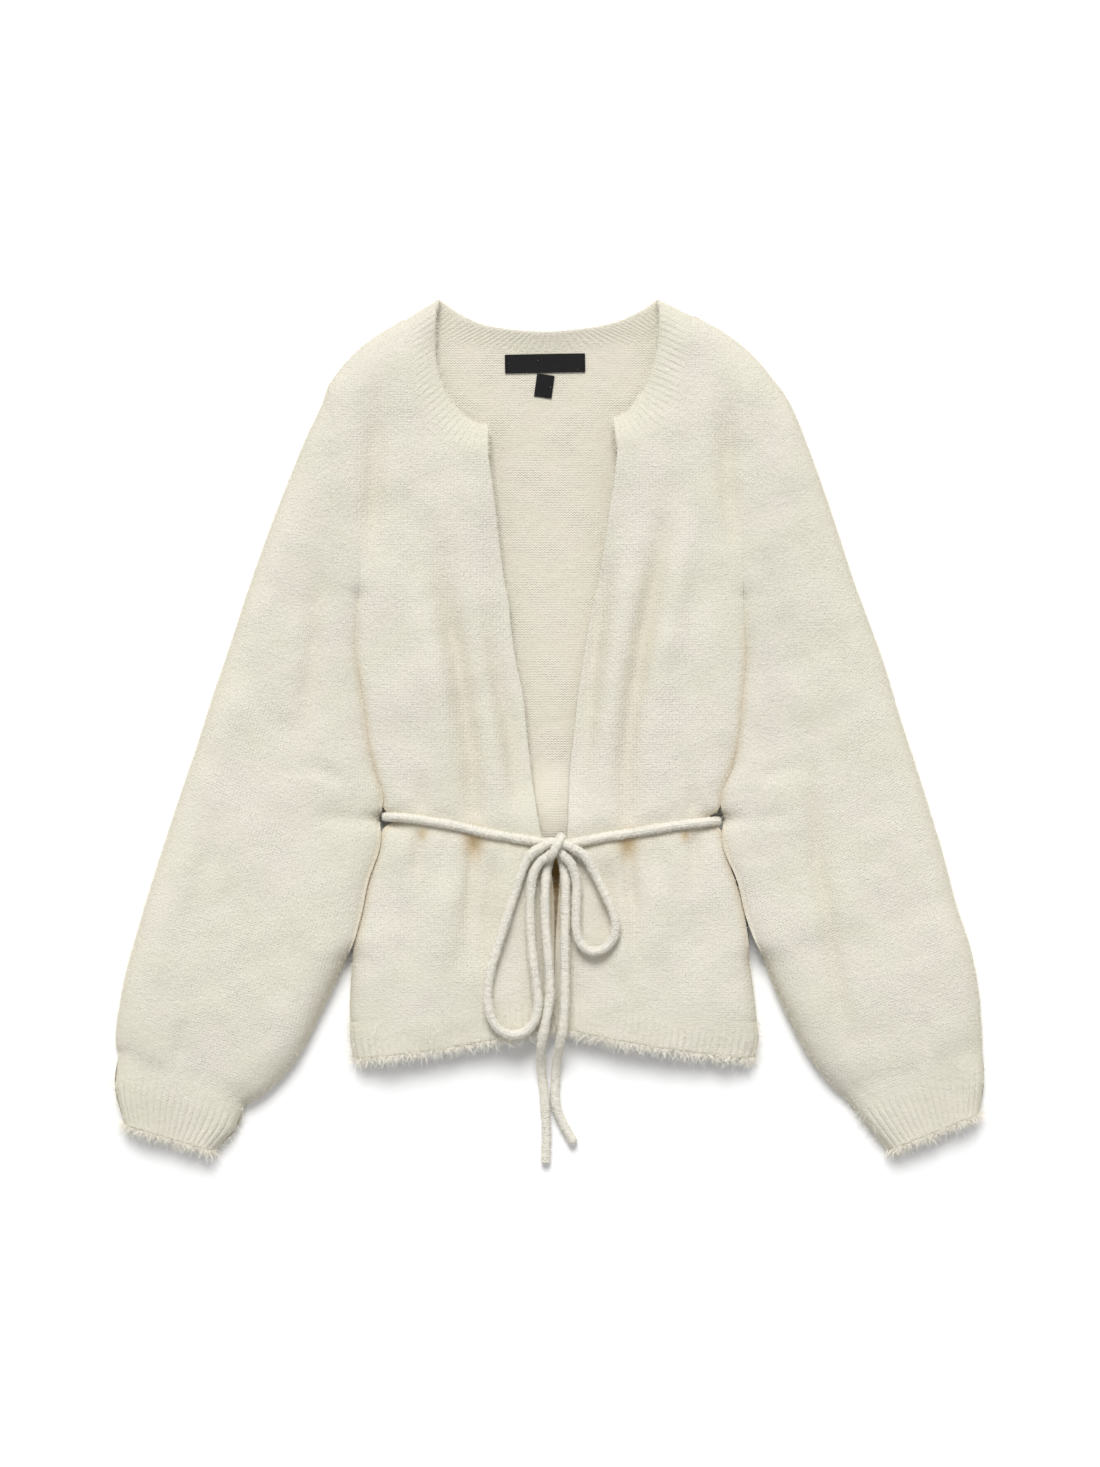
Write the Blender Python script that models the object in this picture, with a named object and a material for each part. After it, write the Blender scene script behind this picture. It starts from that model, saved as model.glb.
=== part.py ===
"""A brushed-knit wrap cardigan, laid flat with its round belt cord tied in a bow.

Every table is in millimetres. Its x and y are measured from the middle of the garment's
picture, x to the viewer's right and y up to the neck, and z is the height over the surface
that the garment lies on. ORIGIN_Y puts the part's origin under the middle of its outline.
The garment's own panels are walls: the back lies flat, the fronts arch over it and roll
down to it at the sides and shoulders, and each sleeve and cuff is one flattened tube.
"""

import bisect
import math

import bmesh
import bpy
from mathutils import Vector

# Driving sizes
MM = 0.001
ORIGIN_Y = 7.0
WALL = 2.6
LAYER_GAP = 0.4
SEAM_HALF_GAP = 0.3
EDGE_HEIGHT = WALL + LAYER_GAP
ROLL_WIDTH = 30.0
ROLL_POWER = 2.4
RIB_PITCH = 5.3
RIB_DEPTH = 1.2
HEM_DEPTH = 28.0
CORD_DIAMETER = 8.0
CORD_TURN = math.radians(24)
WAIST_RISE = 14.6
BELT_DIP = 11.0
BELT_RIDGE = CORD_DIAMETER + 1.5 * LAYER_GAP
BELT_RIDGE_REACH = 16.0
OPENING_DROOP = 4.5
OPENING_DROOP_REACH = 22.0
NECK_DROOP = 4.0
BACK_NECK_LIFT = 6.0
BACK_NECK_HALF = 88.0
ARMHOLE_BOW = 9.0
BACK_BELT_STEPS = (24, 16, 12, 8, 4, 0, -4, -8, -12, -16, -24)

# Side edge of the body, hem to underarm: y, left x, right x
SIDE_EDGE = (
    (-262, -157, 163), (-245, -160, 167), (-231, -160.5, 166), (-214, -160.5, 164.2),
    (-190, -159, 161), (-168, -156, 158), (-142, -149.5, 154), (-124, -146, 149.5),
    (-110, -142.5, 144.5), (-96, -138, 140.5), (-87, -134, 137), (-79, -129, 132),
    (-68.5, -121.8, 124.3), (-58, -128, 130.5), (-48, -133.5, 136.5), (-36, -138, 141.5),
    (-22, -142, 146.5), (-5, -145.7, 151), (20, -148.5, 153), (40, -151.5, 154.8),
    (60, -154.6, 156.6), (85, -154.4, 156.2), (109, -153.2, 154.7),
)

# Edge of each front along the opening: y, left x, right x
OPENING_EDGE = (
    (-245, 2, 4), (-207, 2.5, 4.4), (-170, 2.6, 5.2), (-140, 2.5, 7), (-117, 1, 9),
    (-104, -1.5, 11.5), (-94, -4.5, 13), (-86, -6.5, 14), (-75, -9, 15), (-55, -12.3, 15.5),
    (-31, -16, 16.5), (0, -19.5, 20), (33, -23, 24), (60, -28.5, 28), (84, -32, 31.7),
    (106, -34, 36), (120, -37, 39), (150, -41, 44), (190, -45.5, 50), (221, -50, 54.5),
)

# Armhole, from the shoulder point to the underarm: shoulder x, y, underarm x, y
ARMHOLE = {"left": (-178.3, 279, -153.5, 109), "right": (180, 283, 155, 109)}

# Places down the armhole where the rows of the fronts and the ring of the sleeve start
ARMHOLE_STEPS = (0, 0.02, 0.06, 0.14, 0.22, 0.3, 0.4, 0.5, 0.6, 0.74, 0.86, 0.94, 0.98, 1)

# Neckband of each front: share of the armhole, seam x, seam y, inner edge x, inner edge y
NECKBAND = {
    "left": (
        (0, -116, 332, -90, 348), (0.06, -115.5, 322, -92, 337), (0.14, -114, 304, -92.3, 318),
        (0.22, -111.5, 281, -91, 297), (0.3, -107.5, 261, -86, 279), (0.4, -97, 242, -76, 262),
        (0.5, -78, 226.5, -63, 250.5), (0.6, -50.2, 221, -50, 247),
    ),
    "right": (
        (0, 114, 335, 87, 348), (0.06, 113.8, 325, 88.5, 338), (0.14, 113, 306, 87, 318),
        (0.22, 110.5, 286, 84, 299), (0.3, 105.5, 268, 78, 281), (0.4, 94, 247, 70, 268),
        (0.5, 77, 232, 61, 257), (0.6, 54.8, 226, 51, 253),
    ),
}

# Rows of a front between the neckband and the underarm: share of the armhole, y at the opening
OPENING_ROWS = ((0.6, 221), (0.74, 198), (0.86, 164), (0.94, 141), (0.98, 129), (1, 120))

# Outward bow of the rows of a front near the shoulder: share of the armhole, bow
SHOULDER_BOW = ((0, 6.5), (0.06, 5), (0.14, 3.5), (0.22, 2), (0.3, 1), (0.4, 0), (1, 0))

# Rows of a front under the underarm: y at the side, y at the opening
FRONT_ROWS = (
    (85, 94), (58, 64), (28, 33), (-2, -4), (-26, -38),
)
SKIRT_ROWS = ((-113, -121), (-136, -140), (-160, -160), (-186, -180), (-208, -193))
HEM_SEAM_ROW = (-231, -207)
HEM_BOW = 3.0

# Rise of the back's hem at its middle, and how much of it each lower row of the back has
HEM_ARCH = 30.0
BACK_ARCH = ((-262, 1), (-231, 1), (-208, 0.8), (-186, 0.55), (-160, 0.3), (-136, 0.12),
             (-113, 0), (400, 0))

# The belt's line at the side and at the opening: y at the side, y at the opening
BELT_ROW = {"left": (-66.5, -86), "right": (-70.5, -88)}
BELT_ROW_STEPS = (22, 14, 8, 4, 0, -4, -8, -14, -22)

# Height of the fronts away from their edges: y, height
BODY_RISE = (
    (-262, 17), (-230, 19), (-190, 20), (-130, 18.5), (-70, 18.5), (-20, 20), (40, 21),
    (150, 20), (250, 18), (330, 15.5), (350, 15),
)

# Height of a sleeve: share of its length, height
SLEEVE_RISE = (
    (0, 20), (0.25, 21), (0.5, 23), (0.75, 27), (0.88, 27), (0.95, 23.5), (1, 17.5),
)

# Sleeves, shoulder to cuff: outer x, outer y, inner x, inner y
SLEEVE = {
    "left": (
        (-178.3, 279, -153.8, 109), (-185, 260, -155.2, 84), (-196, 237, -155.6, 58),
        (-213, 195, -150.9, 28), (-229, 153, -148, 2), (-244, 110, -143.4, -24),
        (-258, 67, -135.6, -46), (-271, 29, -136.6, -68), (-284, -12, -138.2, -92),
        (-297, -50, -146.8, -117), (-309.5, -88, -153.2, -147), (-321, -124, -162, -177),
        (-331.5, -160, -173, -201), (-340, -190, -186, -228), (-345.5, -217, -202, -259),
        (-348.5, -238, -219, -280), (-348.5, -250, -233, -292), (-346.5, -256, -244.5, -298),
    ),
    "right": (
        (180, 283, 155.5, 109), (188, 273, 157.2, 84), (198, 254, 157.6, 58),
        (215, 209, 154.9, 28), (230, 165, 152.8, 2), (244, 122, 148.6, -24),
        (257, 87, 138.8, -46), (269, 53, 139.2, -69), (281, 13, 140.6, -92),
        (293, -24, 151.2, -117), (305, -62, 158.6, -147), (316, -99, 170, -177),
        (326, -137, 180.5, -204), (337, -170, 193, -232), (344, -205, 209, -261),
        (346, -230, 223, -279), (347, -244, 231, -287), (347, -251, 240, -295),
    ),
}

# Cuffs, seam to opening: outer x, outer y, inner x, inner y
CUFF = {
    "left": ((-346.6, -256.6, -244.6, -298.6), (-349.3, -283, -252.5, -318),
             (-342.3, -312, -268, -334)),
    "right": ((347, -251.6, 240.2, -295.6), (348.6, -278, 252, -311), (345.2, -303, 270.5, -333)),
}
CUFF_RISE = (17.5, 16.5, 15.5)
CUFF_RIBS = 19

# Seam between the back panel and the back neckband: x, y
BACK_NECK_SEAM = (
    (-116, 332), (-103, 320.5), (-89, 314), (-67, 310), (-39, 306.5), (-4, 305.5), (37, 308),
    (72, 313), (88, 317), (101, 323), (114, 335),
)

# Top edge of the back neckband: x, y
BACK_NECK_TOP = (
    (-90, 348), (-80, 340), (-60, 329.5), (-40, 325), (-20, 322.5), (0, 321.5), (20, 323.5),
    (40, 326.5), (60, 332), (78, 341), (87, 348),
)

# Soft troughs, or ridges where the depth is under 0: depth, half width, points x, y
FOLDS = {
    "left_opening_trough": (5.0, 9, ((-78, 170), (-70, 90), (-62, 30), (-58, -30), (-60, -84))),
    "left_opening_ridge": (-3.0, 9, ((-92, 120), (-80, 60), (-74, 0), (-72, -50))),
    "left_belt_pinch": (5.0, 6, ((-60, -80), (-61, -98), (-62, -118))),
    "left_side_pinch": (3.0, 6, ((-105, -112), (-105, -76), (-102, -34))),
    "left_skirt_ridge": (-2.5, 10, ((-72, -108), (-69, -150), (-67, -196))),
    "left_armhole_trough": (6.0, 9, ((-141, 296), (-142, 237), (-145, 200), (-149, 160),
                                     (-153, 122))),
    "right_opening_trough": (6.0, 9, ((100, 250), (94, 190), (80, 120), (66, 60), (58, 0),
                                      (60, -84))),
    "right_opening_ridge": (-3.0, 9, ((112, 190), (98, 120), (82, 50), (74, -30))),
    "right_belt_pinch": (5.0, 6, ((62, -82), (62, -100), (61, -122))),
    "right_side_pinch": (3.0, 6, ((115, -112), (115, -78), (112, -40))),
    "right_skirt_ridge": (-2.5, 10, ((72, -110), (68, -150), (63, -194))),
    "right_armhole_trough": (6.0, 9, ((142, 298), (143, 237), (146, 200), (151, 160),
                                      (154, 122))),
    "right_sleeve_trough": (3.5, 8, ((203, 30), (214, -100), (232, -215), (246, -268))),
    "left_sleeve_trough": (2.5, 9, ((-184, 150), (-190, 60), (-205, -40))),
}

# The belt cord's routes, chosen by hand: x, y, z
BELT_FRONT_LEFT = (
    (-112, -66.8, 4), (-118, -66.8, 4), (-123.2, -66.7, 4), (-128.9, -66.6, 6.3),
    (-131.2, -66.6, 12), (-128.9, -66.6, 17.7), (-123.2, -66.7, 20), (-114, -67.4, 20.2),
    (-98, -69.8, 20), (-80, -72.8, 20), (-64, -76.4, 20), (-50, -79.6, 20),
    (-34, -82.4, 20), (-20, -84.8, 20), (-10, -86.4, 20.1), (-4, -87.2, 20.2),
)
BELT_FRONT_RIGHT = (
    (114.5, -70.2, 4), (120.5, -70.2, 4), (125.7, -70.3, 4), (131.4, -70.4, 6.3),
    (133.7, -70.4, 12), (131.4, -70.4, 17.7), (125.7, -70.6, 20), (116.5, -71.6, 20.2),
    (98, -74, 20), (80, -77, 20), (60, -80.2, 20), (44, -82.6, 20), (30, -85.6, 20),
    (20, -87.4, 20.1), (15, -88.2, 20.2),
)
BELT_BACK = ((-111.6, -66.8, 4), (-60, -67.4, 4), (0, -68.4, 4), (60, -69.4, 4),
             (114.1, -70.2, 4))
BOW_LOOP_LEFT = (
    (-5.2, -90, 28.1), (-13, -94.2, 27.8), (-20, -104, 26.4), (-27, -124, 25.4),
    (-35, -149, 25.6), (-42, -171, 26), (-47.5, -190, 26), (-49.6, -207, 25.6),
    (-48, -223, 25.2), (-42, -234.5, 24.8), (-32, -240, 24.6), (-21.5, -238.5, 24.6),
    (-13, -230.5, 24.8), (-9.6, -217, 25.2), (-11, -199, 25.8), (-13.6, -180, 26),
    (-15.6, -155, 25.6), (-15.8, -132, 25.4), (-13.8, -114, 26), (-8.6, -103.2, 27),
    (-1.6, -97.9, 27.9),
)
BOW_LOOP_RIGHT = (
    (10.9, -97.3, 27.9), (16.6, -104, 27.2), (20.8, -116, 26), (21, -136, 25.4),
    (20.8, -153, 25.6), (24.5, -167, 25.8), (33.5, -173.6, 26), (43.5, -171, 26),
    (50.6, -162.5, 25.8), (52.2, -151, 25.6), (48.6, -138, 25.4), (42, -124, 25.4),
    (35, -110, 25.8), (27.5, -97.5, 27.4), (16.4, -90.2, 28.4),
)
BELT_TAIL_LEFT = (
    (0.6, -97.5, 19.5), (-2, -106, 20.6), (-3.4, -118, 23.4), (-4, -134, 24.2),
    (-3.6, -152, 24.8), (-2, -171, 25.4), (-0.4, -191, 25.6), (-0.2, -209, 25.2),
    (-2.6, -226, 24.8), (-5.2, -239, 24), (-6.8, -248, 20.4), (-7.4, -256.5, 14.2),
    (-7.2, -265, 8.2), (-6.4, -275, 4.8), (-4.6, -288, 4.2), (-3.8, -300, 4.2),
    (-3, -314, 4.2), (-3, -330, 4.2), (-3.6, -345, 4.2),
)
BELT_TAIL_RIGHT = (
    (9, -97.9, 19.5), (11, -106, 20.6), (12.4, -118, 23.4), (12.3, -138, 24.2),
    (12, -160, 25), (12, -186, 25.6), (11.8, -212, 25.2), (10.8, -230, 24.6),
    (9.6, -239, 23.2), (8, -248, 18.6), (6.4, -257, 12), (5, -267, 6.6),
    (4.3, -278, 4.4), (4.1, -289, 4.2), (5, -299, 4.2), (8.6, -309.5, 4.2),
    (14, -319.5, 4.2), (19.6, -329.4, 4.2),
)
KNOT_CENTRE = (5.4, -89.6, 23.4)
KNOT_HALF = (8.6, 7.8, 8.0)

# Labels: centre x, y, width, height, thickness, turn in degrees
MAIN_LABEL = (-4, 297.3, 64, 14.6, 0.8, 1.0)
CARE_LABEL = (-4.6, 279.1, 13.8, 18, 0.5, -8.0)

# Colours of the cloth and the labels, as sRGB values from 0 to 1
CREAM = (0.902, 0.882, 0.816)
INK_BLACK = (0.055, 0.055, 0.06)


def linear(colour):
    """An sRGB colour as the linear values that a shader takes, with full cover."""
    return [c / 12.92 if c <= 0.04045 else ((c + 0.055) / 1.055) ** 2.4 for c in colour] + [1.0]


def material(name, colour, roughness):
    made = bpy.data.materials.new(name)
    made.use_nodes = True
    shader = made.node_tree.nodes["Principled BSDF"]
    shader.inputs["Base Color"].default_value = linear(colour)
    shader.inputs["Roughness"].default_value = roughness
    shader.inputs["Metallic"].default_value = 0.0
    return made


def smooth(rows, at):
    """Values of a table at a parameter, on a smooth curve through its rows."""
    keys = [row[0] for row in rows]
    at = min(max(at, keys[0]), keys[-1])
    i = min(max(bisect.bisect_right(keys, at) - 1, 0), len(rows) - 2)
    span = keys[i + 1] - keys[i]
    t = (at - keys[i]) / span
    values = []
    for column in range(1, len(rows[0])):
        here, there = rows[i][column], rows[i + 1][column]
        before, after = rows[max(i - 1, 0)], rows[min(i + 2, len(rows) - 1)]
        slope_in = (there - before[column]) / (keys[i + 1] - before[0])
        slope_out = (after[column] - here) / (after[0] - keys[i])
        a = 2 * t**3 - 3 * t**2 + 1
        b = t**3 - 2 * t**2 + t
        c = t**3 - t**2
        values.append(a * here + b * span * slope_in + (1 - a) * there + c * span * slope_out)
    return values


def nearest(x, y, line):
    """Distance to a line of plan points, and the share of its points where that is."""
    best, share = 1e9, 0.0
    for i in range(len(line) - 1):
        (ax, ay), (bx, by) = line[i], line[i + 1]
        along_x, along_y = bx - ax, by - ay
        length2 = along_x**2 + along_y**2
        t = 0.0
        if length2 > 0:
            t = min(max(((x - ax) * along_x + (y - ay) * along_y) / length2, 0.0), 1.0)
        distance = math.hypot(x - ax - t * along_x, y - ay - t * along_y)
        if distance < best:
            best, share = distance, (i + t) / (len(line) - 1)
    return best, share


def ease(t):
    t = min(max(t, 0.0), 1.0)
    return t * t * (3 - 2 * t)


def roll(distance):
    """Share of the full height at a distance from an edge that rolls down."""
    t = min(max(distance / ROLL_WIDTH, 0.0), 1.0)
    return (1 - (1 - t) ** ROLL_POWER) ** (1 / ROLL_POWER)


def sign(side):
    return -1 if side == "left" else 1


def side_x(side, y):
    return smooth(SIDE_EDGE, y)[0 if side == "left" else 1]


def opening_x(side, y):
    return smooth(OPENING_EDGE, y)[0 if side == "left" else 1]


def armhole_point(side, share, shift=0.0):
    """A plan point of the armhole seam, moved towards the sleeve by shift."""
    top_x, top_y, low_x, low_y = ARMHOLE[side]
    bow = ARMHOLE_BOW * math.sin(math.pi * share**1.5)
    x = top_x + (low_x - top_x) * share - sign(side) * bow + sign(side) * shift
    return x, top_y + (low_y - top_y) * share


def front_rows(side):
    """Rows of a front from the hem seam to the shoulder: side point, opening point, bow."""
    rows = []
    waist = [(BELT_ROW[side][0] - step, BELT_ROW[side][1] - step) for step in BELT_ROW_STEPS]
    for side_y, opening_y in (HEM_SEAM_ROW, *reversed(SKIRT_ROWS), *waist, *reversed(FRONT_ROWS)):
        start = (side_x(side, side_y), side_y)
        end = (opening_x(side, opening_y), opening_y)
        bow = -HEM_BOW * ease((-150 - side_y) / 80)
        rows.append((start, end, bow))
    for share in reversed(ARMHOLE_STEPS):
        start = armhole_point(side, share, -SEAM_HALF_GAP)
        if share > 0.6:
            opening_y = smooth(OPENING_ROWS, share)[0]
            end = (opening_x(side, opening_y), opening_y)
        else:
            end = tuple(smooth(NECKBAND[side], share)[0:2])
        rows.append((start, end, smooth(SHOULDER_BOW, share)[0]))
    return rows


def row_point(row, share):
    """A plan point of a row: share 0 is its side end and 1 its opening end."""
    (ax, ay), (bx, by), bow = row
    length = math.hypot(bx - ax, by - ay)
    rise = bow * 4 * share * (1 - share) / length
    turn = 1 if bx > ax else -1
    return (ax + (bx - ax) * share - turn * (by - ay) * rise,
            ay + (by - ay) * share + turn * (bx - ax) * rise)


FRONT = {side: front_rows(side) for side in ("left", "right")}


def outer_line(side):
    """The outline from the neck over the shoulder and down the sleeve."""
    line = [tuple(NECKBAND[side][0][3:5])]
    line.extend(row_point(FRONT[side][-1], 1 - i / 6) for i in range(7))
    line.extend((row[0], row[1]) for row in SLEEVE[side][1:])
    return line


OUTER_LINE = {side: outer_line(side) for side in ("left", "right")}
SIDE_LINE = {
    "left": [(row[1], row[0]) for row in SIDE_EDGE],
    "right": [(row[2], row[0]) for row in SIDE_EDGE],
}
INNER_LINE = {side: [(row[2], row[3]) for row in SLEEVE[side]] for side in ("left", "right")}
BELT_LINE = {
    "left": [point[0:2] for point in BELT_FRONT_LEFT[4:]],
    "right": [point[0:2] for point in BELT_FRONT_RIGHT[4:]],
}


def folds(x, y):
    """Depth of all folds at a plan point."""
    total = 0.0
    for depth, half_width, line in FOLDS.values():
        if min(abs(x - px) for px, _ in line) > 60:
            continue
        distance, share = nearest(x, y, line)
        ends = ease(share / 0.18) * ease((1 - share) / 0.18)
        total += depth * ends * math.exp(-((distance / half_width) ** 2))
    return total


def back_ridge(x, y):
    """Height of the back panel's underside, which passes over the belt."""
    distance, _ = nearest(x, y, [point[0:2] for point in BELT_BACK])
    beyond = min(distance / BELT_RIDGE_REACH, 1.0)
    return BELT_RIDGE * (0.5 + 0.5 * math.cos(math.pi * beyond))


def belt_ridge(x, y):
    """The same ridge, kept whole out to the side edges."""
    return back_ridge(min(max(x, -111.0), 113.0), y)


def edge_height(x, y):
    """Height at which a front meets the back panel at the sides."""
    return belt_ridge(x, y) + EDGE_HEIGHT


def body_height(side, x, y):
    """Height of a front's upper face."""
    rise = smooth(BODY_RISE, y)[0]
    belt, _ = nearest(x, y, BELT_LINE[side])
    dip = math.exp(-((belt / BELT_DIP) ** 2))
    away = roll(nearest(x, y, OUTER_LINE[side])[0]) * roll(nearest(x, y, SIDE_LINE[side])[0])
    rise = rise - folds(x, y) * (1 - dip)
    rise = rise + (WAIST_RISE - rise) * dip
    low = edge_height(x, y)
    return low + (rise - low) * away


def sleeve_height(side, share, x, y):
    """Height of a sleeve's upper face, the front's own height at the armhole."""
    rise = smooth(SLEEVE_RISE, share)[0]
    rise += (smooth(BODY_RISE, y)[0] - rise) * (1 - ease(share / 0.2))
    away = roll(nearest(x, y, OUTER_LINE[side])[0]) * roll(nearest(x, y, INNER_LINE[side])[0])
    return EDGE_HEIGHT + (rise - folds(x, y) - EDGE_HEIGHT) * away


def layers_object(name, outer, inner, made_of, closed=False):
    """One closed solid between two grids of points, in rings where closed is true."""
    mesh = bmesh.new()
    grids = []
    for grid in (outer, inner):
        grids.append([[mesh.verts.new((x * MM, (y - ORIGIN_Y) * MM, z * MM)) for x, y, z in row]
                      for row in grid])
    rows, columns = len(outer), len(outer[0])
    spans = columns if closed else columns - 1
    for turned, grid in enumerate(grids):
        for i in range(rows - 1):
            for j in range(spans):
                k = (j + 1) % columns
                corners = [grid[i][j], grid[i][k], grid[i + 1][k], grid[i + 1][j]]
                mesh.faces.new(reversed(corners) if turned else corners)
    for i in (0, rows - 1):
        for j in range(spans):
            k = (j + 1) % columns
            corners = [grids[0][i][j], grids[1][i][j], grids[1][i][k], grids[0][i][k]]
            mesh.faces.new(corners if i == 0 else reversed(corners))
    if not closed:
        for j in (0, columns - 1):
            for i in range(rows - 1):
                corners = [grids[0][i][j], grids[0][i + 1][j], grids[1][i + 1][j], grids[1][i][j]]
                mesh.faces.new(corners if j == 0 else reversed(corners))
    if mesh.calc_volume(signed=True) < 0:
        bmesh.ops.reverse_faces(mesh, faces=mesh.faces)
    data = bpy.data.meshes.new(name)
    mesh.to_mesh(data)
    mesh.free()
    return add_object(name, data, made_of)


def add_object(name, data, made_of):
    data.materials.append(made_of)
    made = bpy.data.objects.new(name, data)
    COLLECTION.objects.link(made)
    return made


def cloth_wall(name, base, made_of, sewn, relief=None):
    """A panel with its wall under the base grid, and its relief raised over it.

    Where sewn says that a point lies on a seam, the wall goes straight down, so that two
    panels that are sewn together meet face to face.
    """
    rows, columns = len(base), len(base[0])
    points = [[Vector(point) for point in row] for row in base]

    def normal(i, j):
        across = points[i][min(j + 1, columns - 1)] - points[i][max(j - 1, 0)]
        along = points[min(i + 1, rows - 1)][j] - points[max(i - 1, 0)][j]
        return across.cross(along).normalized()

    facing = 1 if normal(rows // 2, columns // 2).z > 0 else -1
    outer, inner = [], []
    for i in range(rows):
        outer_row, inner_row = [], []
        for j in range(columns):
            up = normal(i, j) * facing
            point = points[i][j]
            if sewn(i, j):
                under = point - Vector((0, 0, WALL / max(up.z, 0.5)))
                up = Vector((0, 0, 1))
            else:
                under = point - up * WALL
            under.z = max(under.z, belt_ridge(under.x, under.y) + EDGE_HEIGHT)
            raised = relief(i, j) if relief else 0.0
            over = point + up * raised
            over.z = max(over.z, under.z + 0.05)
            outer_row.append(tuple(over))
            inner_row.append(tuple(under))
        outer.append(outer_row)
        inner.append(inner_row)
    return layers_object(name, outer, inner, made_of)


def front_grid(side, rows, shares):
    """Points of a front's upper face. Each row's shares fit the folds and the rolled side."""
    grid = []
    for row in rows:
        points = []
        for share in shares:
            x, y = row_point(row, share)
            droop_at = (1 - share) * math.dist(row[0], row[1])
            droop = OPENING_DROOP * math.exp(-((droop_at / OPENING_DROOP_REACH) ** 2))
            belt, _ = nearest(x, y, BELT_LINE[side])
            droop *= 1 - math.exp(-((belt / BELT_DIP) ** 2))
            droop *= ease((230 - y) / 30)
            points.append((x, y, body_height(side, x, y) - droop))
        grid.append(points)
    return grid


FRONT_SHARES = (0, 0.008, 0.028, 0.06, 0.1, 0.145, 0.2, 0.26, 0.32, 0.375, 0.43, 0.48, 0.53,
                0.58, 0.63, 0.69, 0.76, 0.84, 0.92, 1)


def make_front(side):
    """One front, from its hem seam to the shoulder."""
    rows = FRONT[side]
    underarm = len(rows) - len(ARMHOLE_STEPS)
    neck_corner = next(i for i, row in enumerate(rows) if i > underarm
                       and row[1][1] > OPENING_ROWS[0][1] - 1)
    top, last = len(rows) - 1, len(FRONT_SHARES) - 1

    def sewn(i, j):
        if i == 0:
            return True
        if j == 0:
            return underarm < i < top
        return j == last and neck_corner <= i < top

    cloth_wall("front_" + side, front_grid(side, rows, FRONT_SHARES), KNIT, sewn)


def rib(index):
    """Relief of a one-by-one rib: even points on its crest and odd ones in its groove."""
    return RIB_DEPTH / 2 if index % 2 == 0 else -RIB_DEPTH / 2


def make_front_hem(side):
    """The ribbed hem of one front."""
    (ax, ay), (bx, by), _ = FRONT[side][0]
    seam_row = ((ax, ay - 2 * SEAM_HALF_GAP), (bx, by - 2 * SEAM_HALF_GAP), -HEM_BOW)
    low_ay, low_by = ay - HEM_DEPTH, by - HEM_DEPTH + 2
    low_row = ((side_x(side, low_ay), low_ay), (opening_x(side, low_by), low_by), -HEM_BOW)
    count = 2 * round(math.dist(low_row[0], low_row[1]) / RIB_PITCH)
    shares = [i / count for i in range(count + 1)]

    def relief(i, j):
        return rib(j) if 0 < j < count else 0.0

    def sewn(i, j):
        return i == 1

    cloth_wall("hem_front_" + side, front_grid(side, [low_row, seam_row], shares), KNIT, sewn,
               relief)


def make_neckband(side):
    """The ribbed neckband of one front, its ribs across its width."""
    table = NECKBAND[side]
    steps = [share for share in ARMHOLE_STEPS if share <= table[-1][0]]
    length = sum(math.dist(a[3:5], b[3:5]) for a, b in zip(table, table[1:]))
    count = 2 * round(1.12 * length / RIB_PITCH)
    lengths = [0.0]
    for a, b in zip(steps, steps[1:]):
        seam_a, seam_b = smooth(table, a), smooth(table, b)
        lengths.append(lengths[-1] + (math.dist(seam_a[0:2], seam_b[0:2])
                                      + math.dist(seam_a[2:4], seam_b[2:4])) / 2)
    grid = []
    for n in range(count + 1):
        at = lengths[-1] * n / count
        i = min(max(bisect.bisect_right(lengths, at) - 1, 0), len(steps) - 2)
        t = (at - lengths[i]) / (lengths[i + 1] - lengths[i])
        a, b = smooth(table, steps[i]), smooth(table, steps[i + 1])
        middle = smooth(table, steps[i] + (steps[i + 1] - steps[i]) * t)
        seam = Vector((a[0] + (b[0] - a[0]) * t, a[1] + (b[1] - a[1]) * t))
        inner = Vector(middle[2:4])
        seam += (inner - seam).normalized() * 2 * SEAM_HALF_GAP
        row = []
        for share in (0, 0.35, 0.7, 1):
            x, y = seam.lerp(inner, share)
            droop = NECK_DROOP * share**2 * ease((345 - y) / 40)
            row.append((x, y, body_height(side, x, y) - droop))
        grid.append(row)

    def relief(i, j):
        return rib(i) if 0 < i < count else 0.0

    def sewn(i, j):
        return j == 0

    cloth_wall("neckband_" + side, grid, KNIT, sewn, relief)


def arch(y, share):
    """Rise of a lower row of the back, as the wrapped fronts pull its hem up."""
    return (HEM_ARCH * smooth(BACK_ARCH, y)[0]
            * (1.006 - math.sqrt((2 * share - 1) ** 2 + 0.012)))


def back_columns():
    """Points along the top of the back, and the share of its width where each one lies."""
    shoulder = {side: [row_point(FRONT[side][-1], share) for share in (0, 0.25, 0.5, 0.75)]
                for side in ("left", "right")}
    top = shoulder["left"] + list(BACK_NECK_SEAM) + list(reversed(shoulder["right"]))
    start, width = top[0][0], top[-1][0] - top[0][0]
    return top, [(x - start) / width for x, _ in top]


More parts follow.
